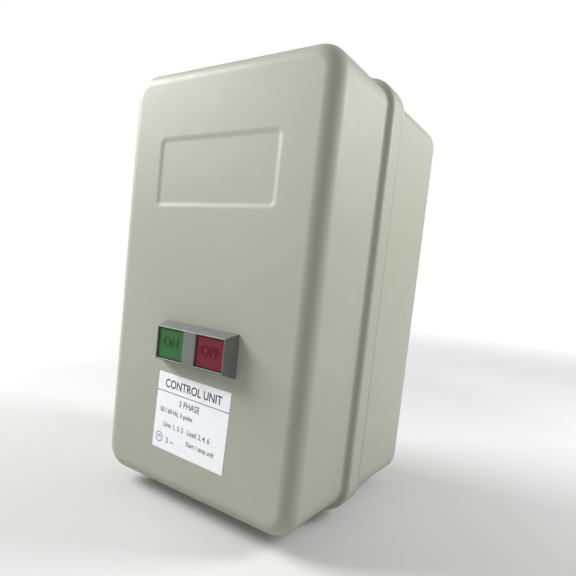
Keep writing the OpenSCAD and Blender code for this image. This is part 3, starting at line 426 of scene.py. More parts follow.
def wound(name, colour):
    """Close turns of enamelled wire."""
    material = plain(name, colour, 0.3, metallic=0.9)
    mottle(material, noise(material, 60, 3), shade(colour, 0.75), shade(colour, 1.1))
    gloss_spread(material, noise(material, 90, 3), 0.24, 0.4)
    relief(material, noise(material, 1500, 1, (0.02, 3, 0.02)), 0.1 * MM, 1.0)
    return material


def rubber(name, colour):
    """Dull rubber with dusty patches."""
    material = plain(name, colour, 0.7)
    mottle(material, noise(material, 70, 5), shade(colour, 0.8), shade(colour, 1.5))
    gloss_spread(material, noise(material, 120, 3), 0.62, 0.82)
    relief(material, noise(material, 1200, 3), 0.03 * MM, 0.7)
    return material


def printed(name, colour, roughness=0.35):
    """Printed film: a faint unevenness in the ink or the paper under it."""
    material = plain(name, colour, roughness)
    mottle(material, noise(material, 220, 4), shade(colour, 0.96), shade(colour, 1.02))
    gloss_spread(material, noise(material, 130, 3), roughness - 0.05, roughness + 0.08)
    relief(material, noise(material, 700, 2), 0.01 * MM, 0.4)
    return material


enamel = paint("enamel", (0.36, 0.372, 0.305))
zinc = metal("zinc_plating", (0.66, 0.67, 0.69))
spring_wire = metal("spring_wire", (0.55, 0.56, 0.58), 0.26, (1, 1, 1))
brass = metal("brass", (0.80, 0.58, 0.26), 0.28)
copper = metal("copper", (0.80, 0.42, 0.26), 0.28)
core_iron = laminated("core_iron", (0.36, 0.36, 0.37))
heater_wire = metal("heater_wire", (0.60, 0.56, 0.50), 0.34, (1, 1, 1))
coil_wire = wound("coil_wire", (0.62, 0.26, 0.12))
bimetal = metal("bimetal", (0.52, 0.50, 0.46), 0.35)
black = moulded("black_moulding", (0.022, 0.022, 0.024), 0.42)
cream = moulded("cream_moulding", (0.66, 0.62, 0.50), 0.46)
ivory = moulded("ivory_moulding", (0.72, 0.66, 0.48), 0.40)
phenolic = moulded("brown_phenolic", (0.16, 0.045, 0.028), 0.36)
charcoal = moulded("charcoal_moulding", (0.05, 0.054, 0.06), 0.42)
bezel_grey = moulded("bezel_grey", (0.135, 0.147, 0.136), 0.42)
button_green = moulded("button_green", (0.030, 0.125, 0.034), 0.55)
button_red = moulded("button_red", (0.150, 0.010, 0.022), 0.55)
# Darker copies of the button colours for the raised words: painted shade on the letters
word_green_painted_shade = moulded("word_green_painted_shade", (0.019, 0.088, 0.023), 0.60)
word_red_painted_shade = moulded("word_red_painted_shade", (0.105, 0.006, 0.013), 0.60)
for button_plastic in (button_green, button_red, word_green_painted_shade, word_red_painted_shade):
    set_reflectance(button_plastic, 0.2)
reset_blue = moulded("reset_blue", (0.02, 0.08, 0.30), 0.38)
seal_rubber = rubber("seal_rubber", (0.025, 0.025, 0.026))
label_white = printed("label_white", (0.86, 0.87, 0.88))
ink_black = printed("ink_black", (0.015, 0.016, 0.03), 0.5)
ink_blue = printed("ink_blue", (0.03, 0.06, 0.30), 0.5)
ink_white = printed("ink_white", (0.75, 0.75, 0.72), 0.5)
wire_black = moulded("wire_black", (0.02, 0.02, 0.022), 0.35, 0.005)
wire_red = moulded("wire_red", (0.35, 0.02, 0.02), 0.35, 0.005)
wire_yellow = moulded("wire_yellow", (0.70, 0.48, 0.04), 0.35, 0.005)
wire_white = moulded("wire_white", (0.72, 0.72, 0.70), 0.35, 0.005)


def dress(piece, material):
    piece.data.materials.clear()
    piece.data.materials.append(material)


def place(piece, material, body, slot, *nodes):
    """Dresses a finished piece, puts it on its body and hides the CAD nodes it stands for."""
    dress(piece, material)
    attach(piece, body)
    if nodes:
        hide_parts(*nodes)


# ---- cover ----

def step_profile():
    """The S-shaped step from the skirt down to the cover's side, after the straight skirt."""
    radius = (STEP_LENGTH ** 2 + SKIRT_OUT ** 2) / (4 * SKIRT_OUT)
    reach = STEP_LENGTH / 2
    steps = 7
    profile = [(0.0, SKIRT_LENGTH)]
    for k in range(1, 2 * steps + 1):
        along = STEP_LENGTH * k / (2 * steps)
        if along <= reach:
            inward = radius - sqrt(radius ** 2 - along ** 2)
        else:
            rest = STEP_LENGTH - along
            inward = SKIRT_OUT - (radius - sqrt(radius ** 2 - rest ** 2))
        profile.append((inward, SKIRT_LENGTH + along))
    return profile


def panel_cutter():
    """Shallow dish whose sloping sides leave the soft edges of the recessed panel."""
    ahead = 2 * MM
    cutter = rounded_plate("panel_cutter", PANEL_WIDTH, PANEL_HEIGHT, PANEL_CORNER,
                           FRONT_Y - ahead, 0, PANEL_Z, forward=False, steps=8)
    carry_on(0, ahead, forward=False)
    carry_on(PANEL_SLOPE, PANEL_DEPTH, forward=False)
    leave()
    return cutter


def make_cover():
    depth = JOINT_Y - FRONT_Y
    cover = rounded_plate("cover_shell", BODY_WIDTH + 2 * SKIRT_OUT, BODY_HEIGHT + 2 * SKIRT_OUT,
                          CORNER_RADIUS + SKIRT_OUT, JOINT_Y)
    profile = step_profile()
    profile.append((SKIRT_OUT, depth - FRONT_RADIUS))
    profile += quarter_round(FRONT_RADIUS, 10, SKIRT_OUT, depth - FRONT_RADIUS)
    follow(profile)
    leave()
    cut(cover, panel_cutter())

    edit()
    pick("edges", lambda e: abs(middle(e).x) < PANEL_WIDTH / 2 + NEAR
         and abs(middle(e).z - PANEL_Z) < PANEL_HEIGHT / 2 + NEAR
         and abs(e.verts[0].co.y - e.verts[1].co.y) < NEAR
         and bend(e) > radians(5))
    bpy.ops.mesh.bevel(offset=0.9 * MM, segments=4, profile=0.5)
    pick("faces", lambda f: f.calc_center_median().y > JOINT_Y - NEAR)
    bpy.ops.mesh.delete(type="FACE")
    leave()
    modify(cover, "SOLIDIFY", thickness=SHEET, offset=-1, use_even_offset=True)

    gap = 0.8 * MM
    half_w, half_h = (BEZEL_WIDTH + gap) / 2, (BEZEL_HEIGHT + gap) / 2
    cut(cover, bar((BEZEL_X - half_w, FRONT_Y - PAST, BEZEL_Z - half_h),
                   (BEZEL_X + half_w, FRONT_Y + PAST, BEZEL_Z + half_h)))
    top, bottom = -BODY_HEIGHT / 2 - 1 * MM, -BODY_HEIGHT / 2 - 20 * MM
    cut(cover, rod(SCREW_SLOT_R, (0, SCREW_Y, bottom), (0, SCREW_Y, top)))
    cut(cover, bar((-SCREW_SLOT_R, SCREW_Y, bottom), (SCREW_SLOT_R, JOINT_Y + PAST, top)))
    smooth(cover, 40)
    place(cover, enamel, "cover", "enclosure_paint", "front_cover")


# ---- rear box ----

def make_box():
    depth = box_high.y - NECK_Y
    shell = rounded_plate("box_shell", BODY_WIDTH, BODY_HEIGHT, CORNER_RADIUS, NECK_Y, forward=False)
    profile = [(0, BEAD_Y - NECK_Y), (0, BEAD_Y + BEAD_HEIGHT - NECK_Y), (0, depth - REAR_RADIUS)]
    profile += quarter_round(REAR_RADIUS, 8, 0, depth - REAR_RADIUS)
    follow(profile, forward=False)
    pick("faces", lambda f: BEAD_Y < f.calc_center_median().y < BEAD_Y + BEAD_HEIGHT
         and abs(f.normal.y) < 0.1)
    bpy.ops.mesh.extrude_region_shrink_fatten(
        TRANSFORM_OT_shrink_fatten={"value": BEAD_OUT, "use_even_offset": True})
    out = 1 * MM
    pick("edges", lambda e: bend(e) > radians(60)
         and (abs(middle(e).x) > BODY_WIDTH / 2 + out or abs(middle(e).z) > BODY_HEIGHT / 2 + out
              or outside_corner(middle(e), out)))
    bpy.ops.mesh.bevel(offset=2.4 * MM, segments=6, profile=0.5)
    pick("edges", lambda e: bend(e) > radians(50)
         and BEAD_Y - NEAR < middle(e).y < BEAD_Y + BEAD_HEIGHT + NEAR)
    bpy.ops.mesh.bevel(offset=0.5 * MM, segments=3, profile=0.5)
    pick("faces", lambda f: f.calc_center_median().y < NECK_Y + NEAR)
    bpy.ops.mesh.delete(type="FACE")
    leave()
    modify(shell, "SOLIDIFY", thickness=SHEET, offset=-1, use_even_offset=True)

    for x in (-WALL_HOLE_X, WALL_HOLE_X):
        for z in (-WALL_HOLE_Z, WALL_HOLE_Z):
            cut(shell, rod(WALL_HOLE_R, (x, -PAST, z), (x, PAST, z)))
    wall = BODY_HEIGHT / 2
    cut(shell, bar((-WINDOW_X, ENTRY_Y - WINDOW_Y, -wall - PAST),
                   (WINDOW_X, ENTRY_Y + WINDOW_Y, -wall + PAST)))
    groove_depth, groove_width = 0.5 * MM, 0.8 * MM
    for x in (-ENTRY_X, ENTRY_X):
        knockout = rod(ENTRY_R, (x, ENTRY_Y, wall - groove_depth), (x, ENTRY_Y, wall + PAST), vertices=64)
        cut(knockout, rod(ENTRY_R - groove_width, (x, ENTRY_Y, wall - PAST), (x, ENTRY_Y, wall + 2 * PAST),
                          vertices=64))
        cut(shell, knockout)
    cut(shell, rod(SCREW_HOLE_R, (0, SCREW_Y, -wall - PAST), (0, SCREW_Y, -wall + PAST)))
    smooth(shell, 40)
    place(shell, enamel, "enclosure", "enclosure_paint", "rear_box")


def outside_corner(point, beyond):
    """True where a point lies further than that outside the body's rounded corner."""
    x = abs(point.x) - (BODY_WIDTH / 2 - CORNER_RADIUS)
    z = abs(point.z) - (BODY_HEIGHT / 2 - CORNER_RADIUS)
    return x > 0 and z > 0 and sqrt(x * x + z * z) > CORNER_RADIUS + beyond


# ---- buttons ----

CELL_WIDTH = 22 * MM
CELL_X = 16.2 * MM
CELL_HEIGHT = BEZEL_HEIGHT - 1.6 * MM
STEM_RADIUS = 3 * MM
STEM_PLAY = 0.05 * MM
CELL_FLOOR = 2 * MM
CLAMP_HOLE_R = 1.5 * MM
CLAMP_HOLE_DEPTH = 8 * MM


def make_bezel():
    front_y, back_y = bezel_low.y, bezel_high.y
    bezel = rounded_plate("bezel_frame", BEZEL_WIDTH + 2 * BEZEL_FLARE, BEZEL_HEIGHT + 2 * BEZEL_FLARE,
                          0, FRONT_Y, BEZEL_X, BEZEL_Z)
    carry_on(0, BEZEL_RIM)
    carry_on(BEZEL_FLARE, FRONT_Y - BEZEL_RIM - front_y)
    leave()
    sleeve = bar((BEZEL_X - BEZEL_WIDTH / 2, FRONT_Y - OVERLAP, BEZEL_Z - BEZEL_HEIGHT / 2),
                 (BEZEL_X + BEZEL_WIDTH / 2, back_y, BEZEL_Z + BEZEL_HEIGHT / 2))
    cut(bezel, sleeve, "UNION")
    for x in (BEZEL_X - CELL_X, BEZEL_X + CELL_X):
        cut(bezel, bar((x - CELL_WIDTH / 2, front_y - PAST, BEZEL_Z - CELL_HEIGHT / 2),
                       (x + CELL_WIDTH / 2, back_y - CELL_FLOOR, BEZEL_Z + CELL_HEIGHT / 2)))
        cut(bezel, rod(STEM_RADIUS + STEM_PLAY, (x, back_y - PAST, BEZEL_Z), (x, back_y + PAST, BEZEL_Z)))
    cut(bezel, rod(CLAMP_HOLE_R, (BEZEL_X, back_y - CLAMP_HOLE_DEPTH, BEZEL_Z),
                   (BEZEL_X, back_y + PAST, BEZEL_Z)))
    modify(bezel, "BEVEL", width=0.38 * MM, segments=3, limit_method="ANGLE", angle_limit=radians(35))
    smooth(bezel, 30)
    place(bezel, bezel_grey, "cover", "grey_plastic", "button_bezel")


def raised_word(word, size, x, y, z, height, bold=0.0):
    """A word that stands out of a face towards the front."""
    deselect()
    bpy.ops.object.text_add(location=(0, 0, 0))
    text = bpy.context.active_object
    text.data.body = word
    text.data.align_x = "CENTER"
    text.data.align_y = "CENTER"
    text.data.size = size
    text.data.extrude = height
    text.data.offset = bold
    text.data.resolution_u = 6
    work_on(text)
    bpy.ops.object.convert(target="MESH")
    piece = named("word")
    piece.rotation_euler = (radians(90), 0, 0)
    settle(piece)
    piece.location = (x, y, z)
    settle(piece)
    edit()
    merge()
    bpy.ops.mesh.normals_make_consistent(inside=False)
    leave()
    return piece


def make_button(name, node, word, material, word_shade_material, slot):
    """Hollow cap on a stem, with a raised word; the body has the node's name."""
    low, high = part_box(node)
    x = (low.x + high.x) / 2
    cap_length, cap_front, wall = 11 * MM, 2.5 * MM, 1.5 * MM
    cap = bar(low, (high.x, low.y + cap_length, high.z), name)
    modify(cap, "BEVEL", width=0.45 * MM, segments=3, limit_method="ANGLE")
    cut(cap, bar((low.x + wall, low.y + cap_front, low.z + wall),
                 (high.x - wall, low.y + 2 * cap_length, high.z - wall)))
    behind_front = low.y + cap_front - OVERLAP
    stem = rod(STEM_RADIUS, (x, behind_front, BEZEL_Z), (x, high.y, BEZEL_Z))
    modify(stem, "BEVEL", width=0.4 * MM, segments=2, limit_method="ANGLE")
    rib = 0.6 * MM
    cross_rib = bar((low.x + wall - OVERLAP, behind_front, BEZEL_Z - rib),
                    (high.x - wall + OVERLAP, low.y + 2 * cap_front, BEZEL_Z + rib))
    button = join(name, [cap, stem, cross_rib])
    smooth(button, 30)
    place(button, material, node, slot, node)
    letters = raised_word(word, 8.4 * MM, x, low.y - 0.02 * MM, BEZEL_Z + 1.0 * MM, 0.26 * MM, 0.04 * MM)
    letters.name = name + "_word"
    # the word gets the darker copy of the cap colour: painted shade on the raised letters
    place(letters, word_shade_material, node, slot)


# ---- label ----

LABEL_X = (label_low.x + label_high.x) / 2
LABEL_Z = (label_low.z + label_high.z) / 2
LABEL_WIDTH = 61.5 * MM
LABEL_HEIGHT = 50 * MM
LABEL_TURN = radians(1.5)
INK = 0.02 * MM

# Word, letter size, place across and up from the label's middle, thickening, narrowing
LABEL_PRINT = (
    ("CONTROL UNIT", 7.6, 0, 18.3, 0.12, 0.86),
    ("3 PHASE", 5.8, -1.5, 7.8, 0.04, 0.85),
    ("50 / 60 Hz, 3 poles", 4.3, -12, 0.8, 0.05, 0.88),
    ("Line: 1, 3, 5   Load: 2, 4, 6", 4.6, -2, -8.2, 0.05, 0.84),
    ("Start / stop unit", 4.4, 11, -15.4, 0.05, 0.84),
)
LABEL_MARKS = (
    ("M", 4.2, -25, -17.5, 0, 1),
    ("3 ~", 5.4, -15.5, -18.4, 0.05, 1),
)
RING_PLACE = (-25 * MM, -17.5 * MM)
RING_OUTER = 3.3 * MM
RING_INNER = 2.8 * MM
RULE_UP = 12.9 * MM
RULE_HALF = 0.25 * MM


def on_label(x, z):
    """A place on the label, given from its middle, in the label's own turned directions."""
    return (LABEL_X + x * cos(LABEL_TURN) + z * sin(LABEL_TURN),
            LABEL_Z - x * sin(LABEL_TURN) + z * cos(LABEL_TURN))


def label_word(word, size, x, z, bold, narrow):
    """A word of the label, with its sizes in millimetres."""
    px, pz = on_label(x * MM, z * MM)
    piece = raised_word(word, size * MM, 0, 0, 0, INK / 2, bold * MM)
    piece.scale = (narrow, 1, 1)
    settle(piece)
    piece.rotation_euler = (0, LABEL_TURN, 0)
    piece.location = (px, label_low.y - INK / 2, pz)
    return settle(piece)


def make_label():
    card = rounded_plate("label_card", LABEL_WIDTH, LABEL_HEIGHT, 0.4 * MM, label_high.y, steps=3)
    carry_on(0, label_high.y - label_low.y)
    leave()
    card.rotation_euler = (0, LABEL_TURN, 0)
    card.location = (LABEL_X, 0, LABEL_Z)
    settle(card)
    smooth(card, 30, weighted=False)
    place(card, label_white, "cover", "white_label", "rating_label")

    printing = join("label_print", [label_word(*row) for row in LABEL_PRINT])
    place(printing, ink_black, "cover", "white_label")

    rule_x, rule_z = on_label(0, RULE_UP)
    rule = bar((-LABEL_WIDTH / 2, label_low.y - INK, -RULE_HALF), (LABEL_WIDTH / 2, label_low.y, RULE_HALF))
    rule.rotation_euler = (0, LABEL_TURN, 0)
    rule.location = (rule_x, 0, rule_z)
    settle(rule)
    ring_x, ring_z = on_label(*RING_PLACE)
    ring = rod(RING_OUTER, (ring_x, label_low.y, ring_z), (ring_x, label_low.y - INK, ring_z), vertices=48)
    cut(ring, rod(RING_INNER, (ring_x, label_low.y + MM, ring_z), (ring_x, label_low.y - MM, ring_z),
                  vertices=48))
    marks = join("label_mark", [rule, ring] + [label_word(*row) for row in LABEL_MARKS])
    place(marks, ink_blue, "cover", "white_label")


# ---- markings inside ----

PRINT_BOLD = 0.05 * MM
DIAL_TICKS = 9
DIAL_SWEEP = (-135, 135)
TICK_START = 7.3 * MM
TICK_HALF = 0.15 * MM
LONG_TICK = 1.6 * MM
SHORT_TICK = 1.0 * MM


def marking(word, size, x, front, z):
    """A printed word on a front face, with its size and place in millimetres."""
    return raised_word(word, size * MM, x * MM, front - INK / 2, z * MM, INK / 2, PRINT_BOLD)


def make_contactor_print():
    """Terminal numbers: odd above, even below, and the auxiliary contact's pair."""
    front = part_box("contactor_body")[0].y
    upper, lower, size = 65.2, 22.9, 3.8
    words = []
    for first, z in ((1, upper), (2, lower)):
        for pole in range(3):
            words.append(marking(str(first + 2 * pole), size, 24 * (pole - 1), front, z))
    aux_front, aux_x, aux_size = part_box("aux_block")[0].y, -44.2, 3.2
    words.append(marking("13", aux_size, aux_x, aux_front, 56))
    words.append(marking("14", aux_size, aux_x, aux_front, 32))
    place(join("contactor_print", words), ink_black, "enclosure", "cream_plastic")


def make_relay_print():
    """Numbers of the relay's small terminals, the reset word and the ticks round the dial."""
    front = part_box("relay_front")[0].y
    dial = middle_of("setting_dial")
    words = [marking(str(95 + k), 2.6, 5 + 8 * k, front, -18.6) for k in range(4)]
    words.append(marking("RESET", 3.0, middle_of("reset_plunger").x / MM, front, -28.8))
    first, last = DIAL_SWEEP
    for k in range(DIAL_TICKS):
        length = LONG_TICK if k % 4 == 0 else SHORT_TICK
        tick = bar((-TICK_HALF, front - INK, TICK_START), (TICK_HALF, front, TICK_START + length))
        tick.rotation_euler = (0, radians(first + (last - first) * k / (DIAL_TICKS - 1)), 0)
        tick.location = (dial.x, 0, dial.z)
        words.append(settle(tick))
    place(join("relay_print", words), ink_white, "enclosure", "black_plastic")


# ---- springs, windings and wires ----

def coil(name, radius, wire, length, turns, foot, turn=(0, 0, 0)):
    """Wire of that radius wound round a cylinder on the foot point, along Z until it is turned."""
    deselect()
    bpy.ops.mesh.primitive_circle_add(vertices=10, radius=wire, location=(radius, 0, wire),
                                      rotation=(pi / 2, 0, 0))
    piece = settle(named(name))
    modify(piece, "SCREW", axis="Z", angle=2 * pi, screw_offset=(length - 2 * wire) / turns,
           iterations=turns, steps=32, render_steps=32)
    edit()
    merge()
    pick("edges", lambda edge: edge.is_boundary)
    bpy.ops.mesh.edge_face_add()
    bpy.ops.mesh.select_all(action="SELECT")
    bpy.ops.mesh.normals_make_consistent(inside=False)
    leave()
    piece.rotation_euler = turn
    piece.location = foot
    smooth(settle(piece), 50, weighted=False)
    return piece


def coils_at(name, radius, wire, length, turns, feet, turn=(0, 0, 0)):
    """One coil, and a copy of it on each further foot point, as one piece."""
    first = coil(name, radius, wire, length, turns, feet[0], turn)
    further = [copied(first, Vector(foot) - Vector(feet[0])) for foot in feet[1:]]
    return join(name, [first] + further) if further else first


def body_of(node):
    bodies = frame["record"]["behaviour"]["bodies"]
    return next(body for body, nodes in bodies.items() if node in nodes)


def slot_of(node):
    return next(part["material_slot"] for part in frame["record"]["subparts"] if part["node"] == node)


FORWARD = (pi / 2, 0, 0)


def make_springs(node, centres, radius, wire, turns, joint=None):
    """Compression springs along Y; a spring with a joint gets a mesh of its own."""
    low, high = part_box(node)
    length = high.y - low.y
    feet = [(x, high.y, z) for x, z in centres]
    piece = coils_at(node + "_wire", radius, wire, length, turns, feet, FORWARD)
    place(piece, spring_wire, body_of(node), slot_of(node), node)
    if joint:
        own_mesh(piece)


BUTTON_TRAVEL = 3.5 * MM
CARRIER_TRAVEL = 5.4 * MM
POLES = (-24 * MM, 0, 24 * MM)


def make_all_springs():
    on, off = middle_of("on_button"), middle_of("off_button")
    carrier = middle_of("moving_core")
    poles = [(x, carrier.z) for x in POLES]
    beside = 16.2 * MM
    pair = [(0, carrier.z - beside), (0, carrier.z + beside)]
    # Node, places, coil and wire radius, turns, joint and its travel
    springs = (
        ("on_button_spring", [(on.x, on.z)], 5, 0.4, 6, "on_button_press", BUTTON_TRAVEL),
        ("off_button_spring", [(off.x, off.z)], 5, 0.4, 6, "off_button_press", BUTTON_TRAVEL),
        ("start_plunger_spring", [(on.x, on.z)], 1.6, 0.3, 5, "start_plunger_slide", BUTTON_TRAVEL),
        ("reset_spring", [(off.x, off.z)], 3, 0.4, 5, "reset_plunger_slide", BUTTON_TRAVEL),
        ("contact_springs", poles, 3, 0.4, 5, None, 0),
        ("carrier_return_springs", pair, 2.8, 0.4, 7, "carrier_slide", CARRIER_TRAVEL),
    )
    for node, centres, radius, wire, turns, joint, travel in springs:
        make_springs(node, centres, radius * MM, wire * MM, turns, joint)


def make_heaters():
    low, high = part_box("heater_windings")
    wire, turns = 0.5 * MM, 8
    radius = (high.y - low.y) / 2 - wire
    feet = [(x, (low.y + high.y) / 2, low.z) for x in POLES]
    heaters = coils_at("heater_coils", radius, wire, high.z - low.z, turns, feet)
    place(heaters, heater_wire, "enclosure", "copper", "heater_windings")


def eased(route, reach=4 * MM, steps=6):
    """Turns each corner of a route into a short curve."""
    points = [Vector(route[0])]
    for before, corner, after in zip(route, route[1:], route[2:]):
        corner = Vector(corner)
        a = corner + (Vector(before) - corner).normalized() * reach
        b = corner + (Vector(after) - corner).normalized() * reach
        for k in range(steps + 1):
            t = k / steps
            points.append((1 - t) ** 2 * a + 2 * t * (1 - t) * corner + t ** 2 * b)
    points.append(Vector(route[-1]))
    return points


def tube(name, points, radius):
    """Round insulated wire along the points."""
    curve = bpy.data.curves.new(name, "CURVE")
    curve.dimensions = "3D"
    curve.bevel_depth = radius
    curve.bevel_resolution = 4
    curve.use_fill_caps = True
    spline = curve.splines.new("POLY")
    spline.points.add(len(points) - 1)
    for spot, point in zip(spline.points, points):
        spot.co = (*point, 1)
    wire = bpy.data.objects.new(name, curve)
    bpy.context.scene.collection.objects.link(wire)
    work_on(wire)
    bpy.ops.object.convert(target="MESH")
    edit()
    merge(NEAR)
    leave()
    return named(name)


def make_wires():
    """Control wires between the coil, the auxiliary contact, the relay and the start switch."""
    on_x, on_z = middle_of("on_button").x / MM, middle_of("on_button").z / MM
    coil_x, coil_z = 25, 92.5
    aux_x, aux_top, aux_foot = -44.2, 68, 20
    trip_x, trip_z = (5, 29), -13
    start_top, start_foot = on_z + 12.8, on_z - 12.8
    # Places across, up and out from the wall, in millimetres
    routes = (
        (wire_black, ((-coil_x, coil_z, 51.5), (-coil_x, coil_z, 58), (-25, 103, 62), (-58, 103, 62),
                      (-58, 68, 90), (aux_x, aux_top, 94), (aux_x, aux_top, 83.4))),
        (wire_red, ((aux_x, aux_foot, 83.4), (aux_x, aux_foot, 95), (-56, 14, 95), (-56, -10, 100),
                    (-30, -18, 108), (on_x, start_top, 111), (on_x, start_top, 105))),
        (wire_yellow, ((coil_x, coil_z, 51.5), (coil_x, coil_z, 58), (25, 103, 62), (56, 103, 62),
                       (56, 10, 90), (29, -5, 98), (trip_x[1], trip_z, 97), (trip_x[1], trip_z, 83.4))),
        (wire_white, ((trip_x[0], trip_z, 83.4), (trip_x[0], trip_z, 98), (0, -30, 102),
                      (0, start_foot, 106), (on_x, start_foot, 111), (on_x, start_foot, 105))),
    )
    wires = []
    for material, route in routes:
        points = eased([Vector((x, -depth, up)) * MM for x, up, depth in route])
        wire = tube("wire", points, 1.1 * MM)
        dress(wire, material)
        smooth(wire, 60, weighted=False)
        wires.append(wire)
    loom = join("wire_loom", wires)
    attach(loom, "enclosure")
    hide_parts("control_wires")


# ---- pieces that keep their shape and get worn edges ----

# Pieces whose broad faces are pierced many times: those faces stay divided
PIERCED = ("contactor_body", "relay_housing", "start_switch_bracket", "trip_slide", "coil_winding",
           "shading_rings")


def soften(node, material, width):
    """Copies a node's shape, joins its flat facets and rounds its sharp edges."""
    source = frame["nodes"][node]
    piece = bpy.data.objects.new(node + "_piece", source.data.copy())
    piece.data.name = node + "_piece"
    bpy.context.scene.collection.objects.link(piece)
    work_on(piece)
    edit()
    merge(WELD / 2)
    if node not in PIERCED:
        bpy.ops.mesh.dissolve_limited(angle_limit=radians(0.5), use_dissolve_boundaries=False)
    leave()
    modify(piece, "BEVEL", width=width, segments=2, limit_method="ANGLE",
           angle_limit=radians(40), use_clamp_overlap=True, miter_outer="MITER_ARC")
    smooth(piece, 40)
    place(piece, material, body_of(node), slot_of(node), node)


# Node, material and width of its rounded edges in millimetres
SOFTENED = (
    ("cover_seal", seal_rubber, 0.4),
    ("gland_plate", zinc, 0.25),
    ("gland_plate_screws", zinc, 0.3),
    ("cable_grommets", seal_rubber, 0.8),
    ("hinge_brackets", enamel, 0.35),
    ("hinge_pins", zinc, 0.3),
    ("cover_screw_nut", zinc, 0.3),
    ("cover_screw", zinc, 0.3),
    ("cover_hinge_hooks", enamel, 0.35),
    ("mounting_plate", zinc, 0.3),
    ("plate_spacers", zinc, 0.3),
    ("mounting_screws", zinc, 0.25),
    ("earth_terminal", brass, 0.25),
    ("bezel_clamp", zinc, 0.25),
    ("bezel_clamp_screw", zinc, 0.2),
    ("contactor_base", black, 0.6),
    ("contactor_body", cream, 0.5),
    ("fixed_core", core_iron, 0.2),
    ("core_cushion", seal_rubber, 0.5),
    ("shading_rings", copper, 0.15),
    ("coil_bobbin", ivory, 0.3),
    ("coil_winding", coil_wire, 0.8),
    ("coil_terminals", brass, 0.15),
    ("moving_core", core_iron, 0.2),
    ("contact_carrier", phenolic, 0.3),
    ("moving_contacts", copper, 0.2),
    ("line_contacts", brass, 0.2),
    ("load_contacts", brass, 0.2),
    ("main_terminal_screws", zinc, 0.25),
    ("arc_plates", zinc, 0.12),
    ("aux_block", cream, 0.3),
    ("aux_contacts", brass, 0.15),
    ("relay_housing", black, 0.4),
    ("relay_front", charcoal, 0.4),
    ("relay_link_bars", copper, 0.2),
    ("bimetal_strips", bimetal, 0.1),
    ("relay_terminals", brass, 0.15),
    ("relay_terminal_screws", zinc, 0.2),
    ("trip_slide", ivory, 0.25),
    ("trip_rocker", ivory, 0.25),
    ("reset_plunger", reset_blue, 0.4),
    ("setting_dial", ivory, 0.3),
    ("start_switch_bracket", zinc, 0.25),
    ("start_switch_body", charcoal, 0.4),
    ("start_plunger", ivory, 0.25),
    ("start_switch_terminals", brass, 0.15),
)


# ---- scene ----

CAMERA_PLACE = (0.2067, -0.3668, 0.0106)
CAMERA_TURN = (85.706, -6.251, 33.447)


def make_camera():
    bpy.ops.object.camera_add(location=CAMERA_PLACE, rotation=[radians(angle) for angle in CAMERA_TURN])
    camera = bpy.context.active_object
    camera.name = "camera"
    camera.data.lens = 30.005
    camera.data.shift_x = -0.012
    camera.data.shift_y = 0.0461
    camera.data.clip_start = 0.02
    bpy.context.scene.camera = camera


def softbox(name, place_at, aim, size, power):
    direction = Vector(aim) - Vector(place_at)
    turn = direction.to_track_quat("-Z", "Y").to_euler()
    bpy.ops.object.light_add(type="AREA", location=place_at, rotation=turn)
    light = bpy.context.active_object
    light.name = name
    light.data.shape = "RECTANGLE"
    light.data.size, light.data.size_y = size
    light.data.energy = power


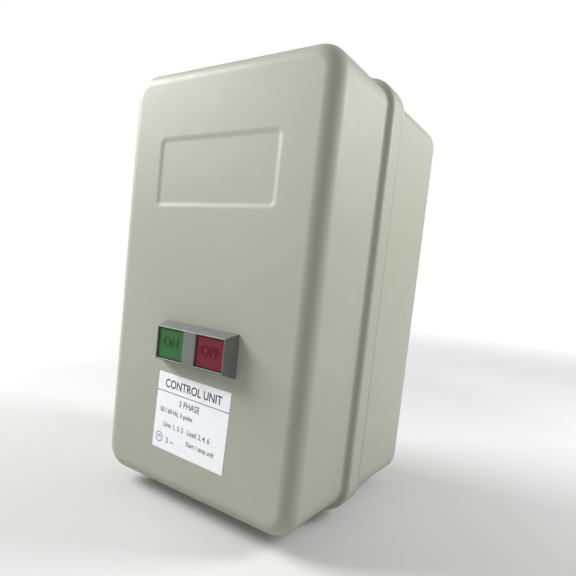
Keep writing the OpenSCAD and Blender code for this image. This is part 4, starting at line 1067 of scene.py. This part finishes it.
def make_world():
    """White behind everything, and a dim light that is stronger from above."""
    world = bpy.data.worlds.new("studio")
    world.use_nodes = True
    tree = world.node_tree
    lit = tree.nodes["Background"]
    seen = tree.nodes.new("ShaderNodeBackground")
    seen.inputs["Color"].default_value = (1, 1, 1, 1)
    rays = tree.nodes.new("ShaderNodeLightPath")
    choice = tree.nodes.new("ShaderNodeMixShader")
    tree.links.new(rays.outputs["Is Camera Ray"], choice.inputs[0])
    tree.links.new(lit.outputs[0], choice.inputs[1])
    tree.links.new(seen.outputs[0], choice.inputs[2])
    tree.links.new(choice.outputs[0], tree.nodes["World Output"].inputs["Surface"])
    direction = tree.nodes.new("ShaderNodeTexCoord")
    split = tree.nodes.new("ShaderNodeSeparateXYZ")
    height = tree.nodes.new("ShaderNodeMapRange")
    height.inputs["From Min"].default_value = -1
    ramp = tree.nodes.new("ShaderNodeValToRGB")
    ramp.color_ramp.elements[0].color = (0.30, 0.30, 0.30, 1)
    ramp.color_ramp.elements[0].position = 0.40
    ramp.color_ramp.elements[1].color = (1, 1, 1, 1)
    ramp.color_ramp.elements[1].position = 0.85
    tree.links.new(direction.outputs["Generated"], split.inputs[0])
    tree.links.new(split.outputs["Z"], height.inputs["Value"])
    tree.links.new(height.outputs["Result"], ramp.inputs["Fac"])
    tree.links.new(ramp.outputs["Color"], lit.inputs["Color"])
    lit.inputs["Strength"].default_value = 0.38
    bpy.context.scene.world = world
    bpy.context.scene.view_settings.view_transform = "Standard"


def make_lights():
    softbox("left_light", (-1.38, -0.70, 0.92), (0, -0.15, 0.05), (1.0, 0.7), 51)
    softbox("right_light", (0.64, 0.40, 0.43), (0.08, -0.08, 0.05), (0.3, 0.4), 7.4)


def make_floor():
    """Pale paper that glows more with the distance from the starter: painted light that fades the floor
    into the white backdrop.
    """
    deselect()
    bpy.ops.mesh.primitive_plane_add(size=12, location=(0, 0, cad_box[0].z - 0.5 * MM))
    floor = settle(named("floor"))
    paper = plain("glowing_floor_paper", (0.52, 0.52, 0.52), 0.8)
    mottle(paper, noise(paper, 3), (0.50, 0.50, 0.50), (0.54, 0.54, 0.54))
    tree = paper.node_tree
    place_on_floor = tree.nodes.new("ShaderNodeTexCoord")
    distance = tree.nodes.new("ShaderNodeVectorMath")
    distance.operation = "LENGTH"
    tree.links.new(place_on_floor.outputs["Object"], distance.inputs[0])
    near, far, dim, bright = 0.40, 1.8, 0.05, 0.82
    # emission from dim near the starter to bright far off: painted light on the floor
    glow = spread(paper, distance.outputs["Value"], dim, bright, near, far)
    tree.links.new(glow, tree.nodes["Principled BSDF"].inputs["Emission Strength"])
    dress(floor, paper)


make_camera()
make_world()
make_lights()
make_floor()
make_cover()
make_box()
make_bezel()
make_button("on_button_cap", "on_button", "ON", button_green, word_green_painted_shade, "green_plastic")
make_button("off_button_cap", "off_button", "OFF", button_red, word_red_painted_shade, "red_plastic")
make_label()
make_contactor_print()
make_relay_print()
make_all_springs()
make_heaters()
make_wires()
for node, material, width in SOFTENED:
    soften(node, material, width * MM)
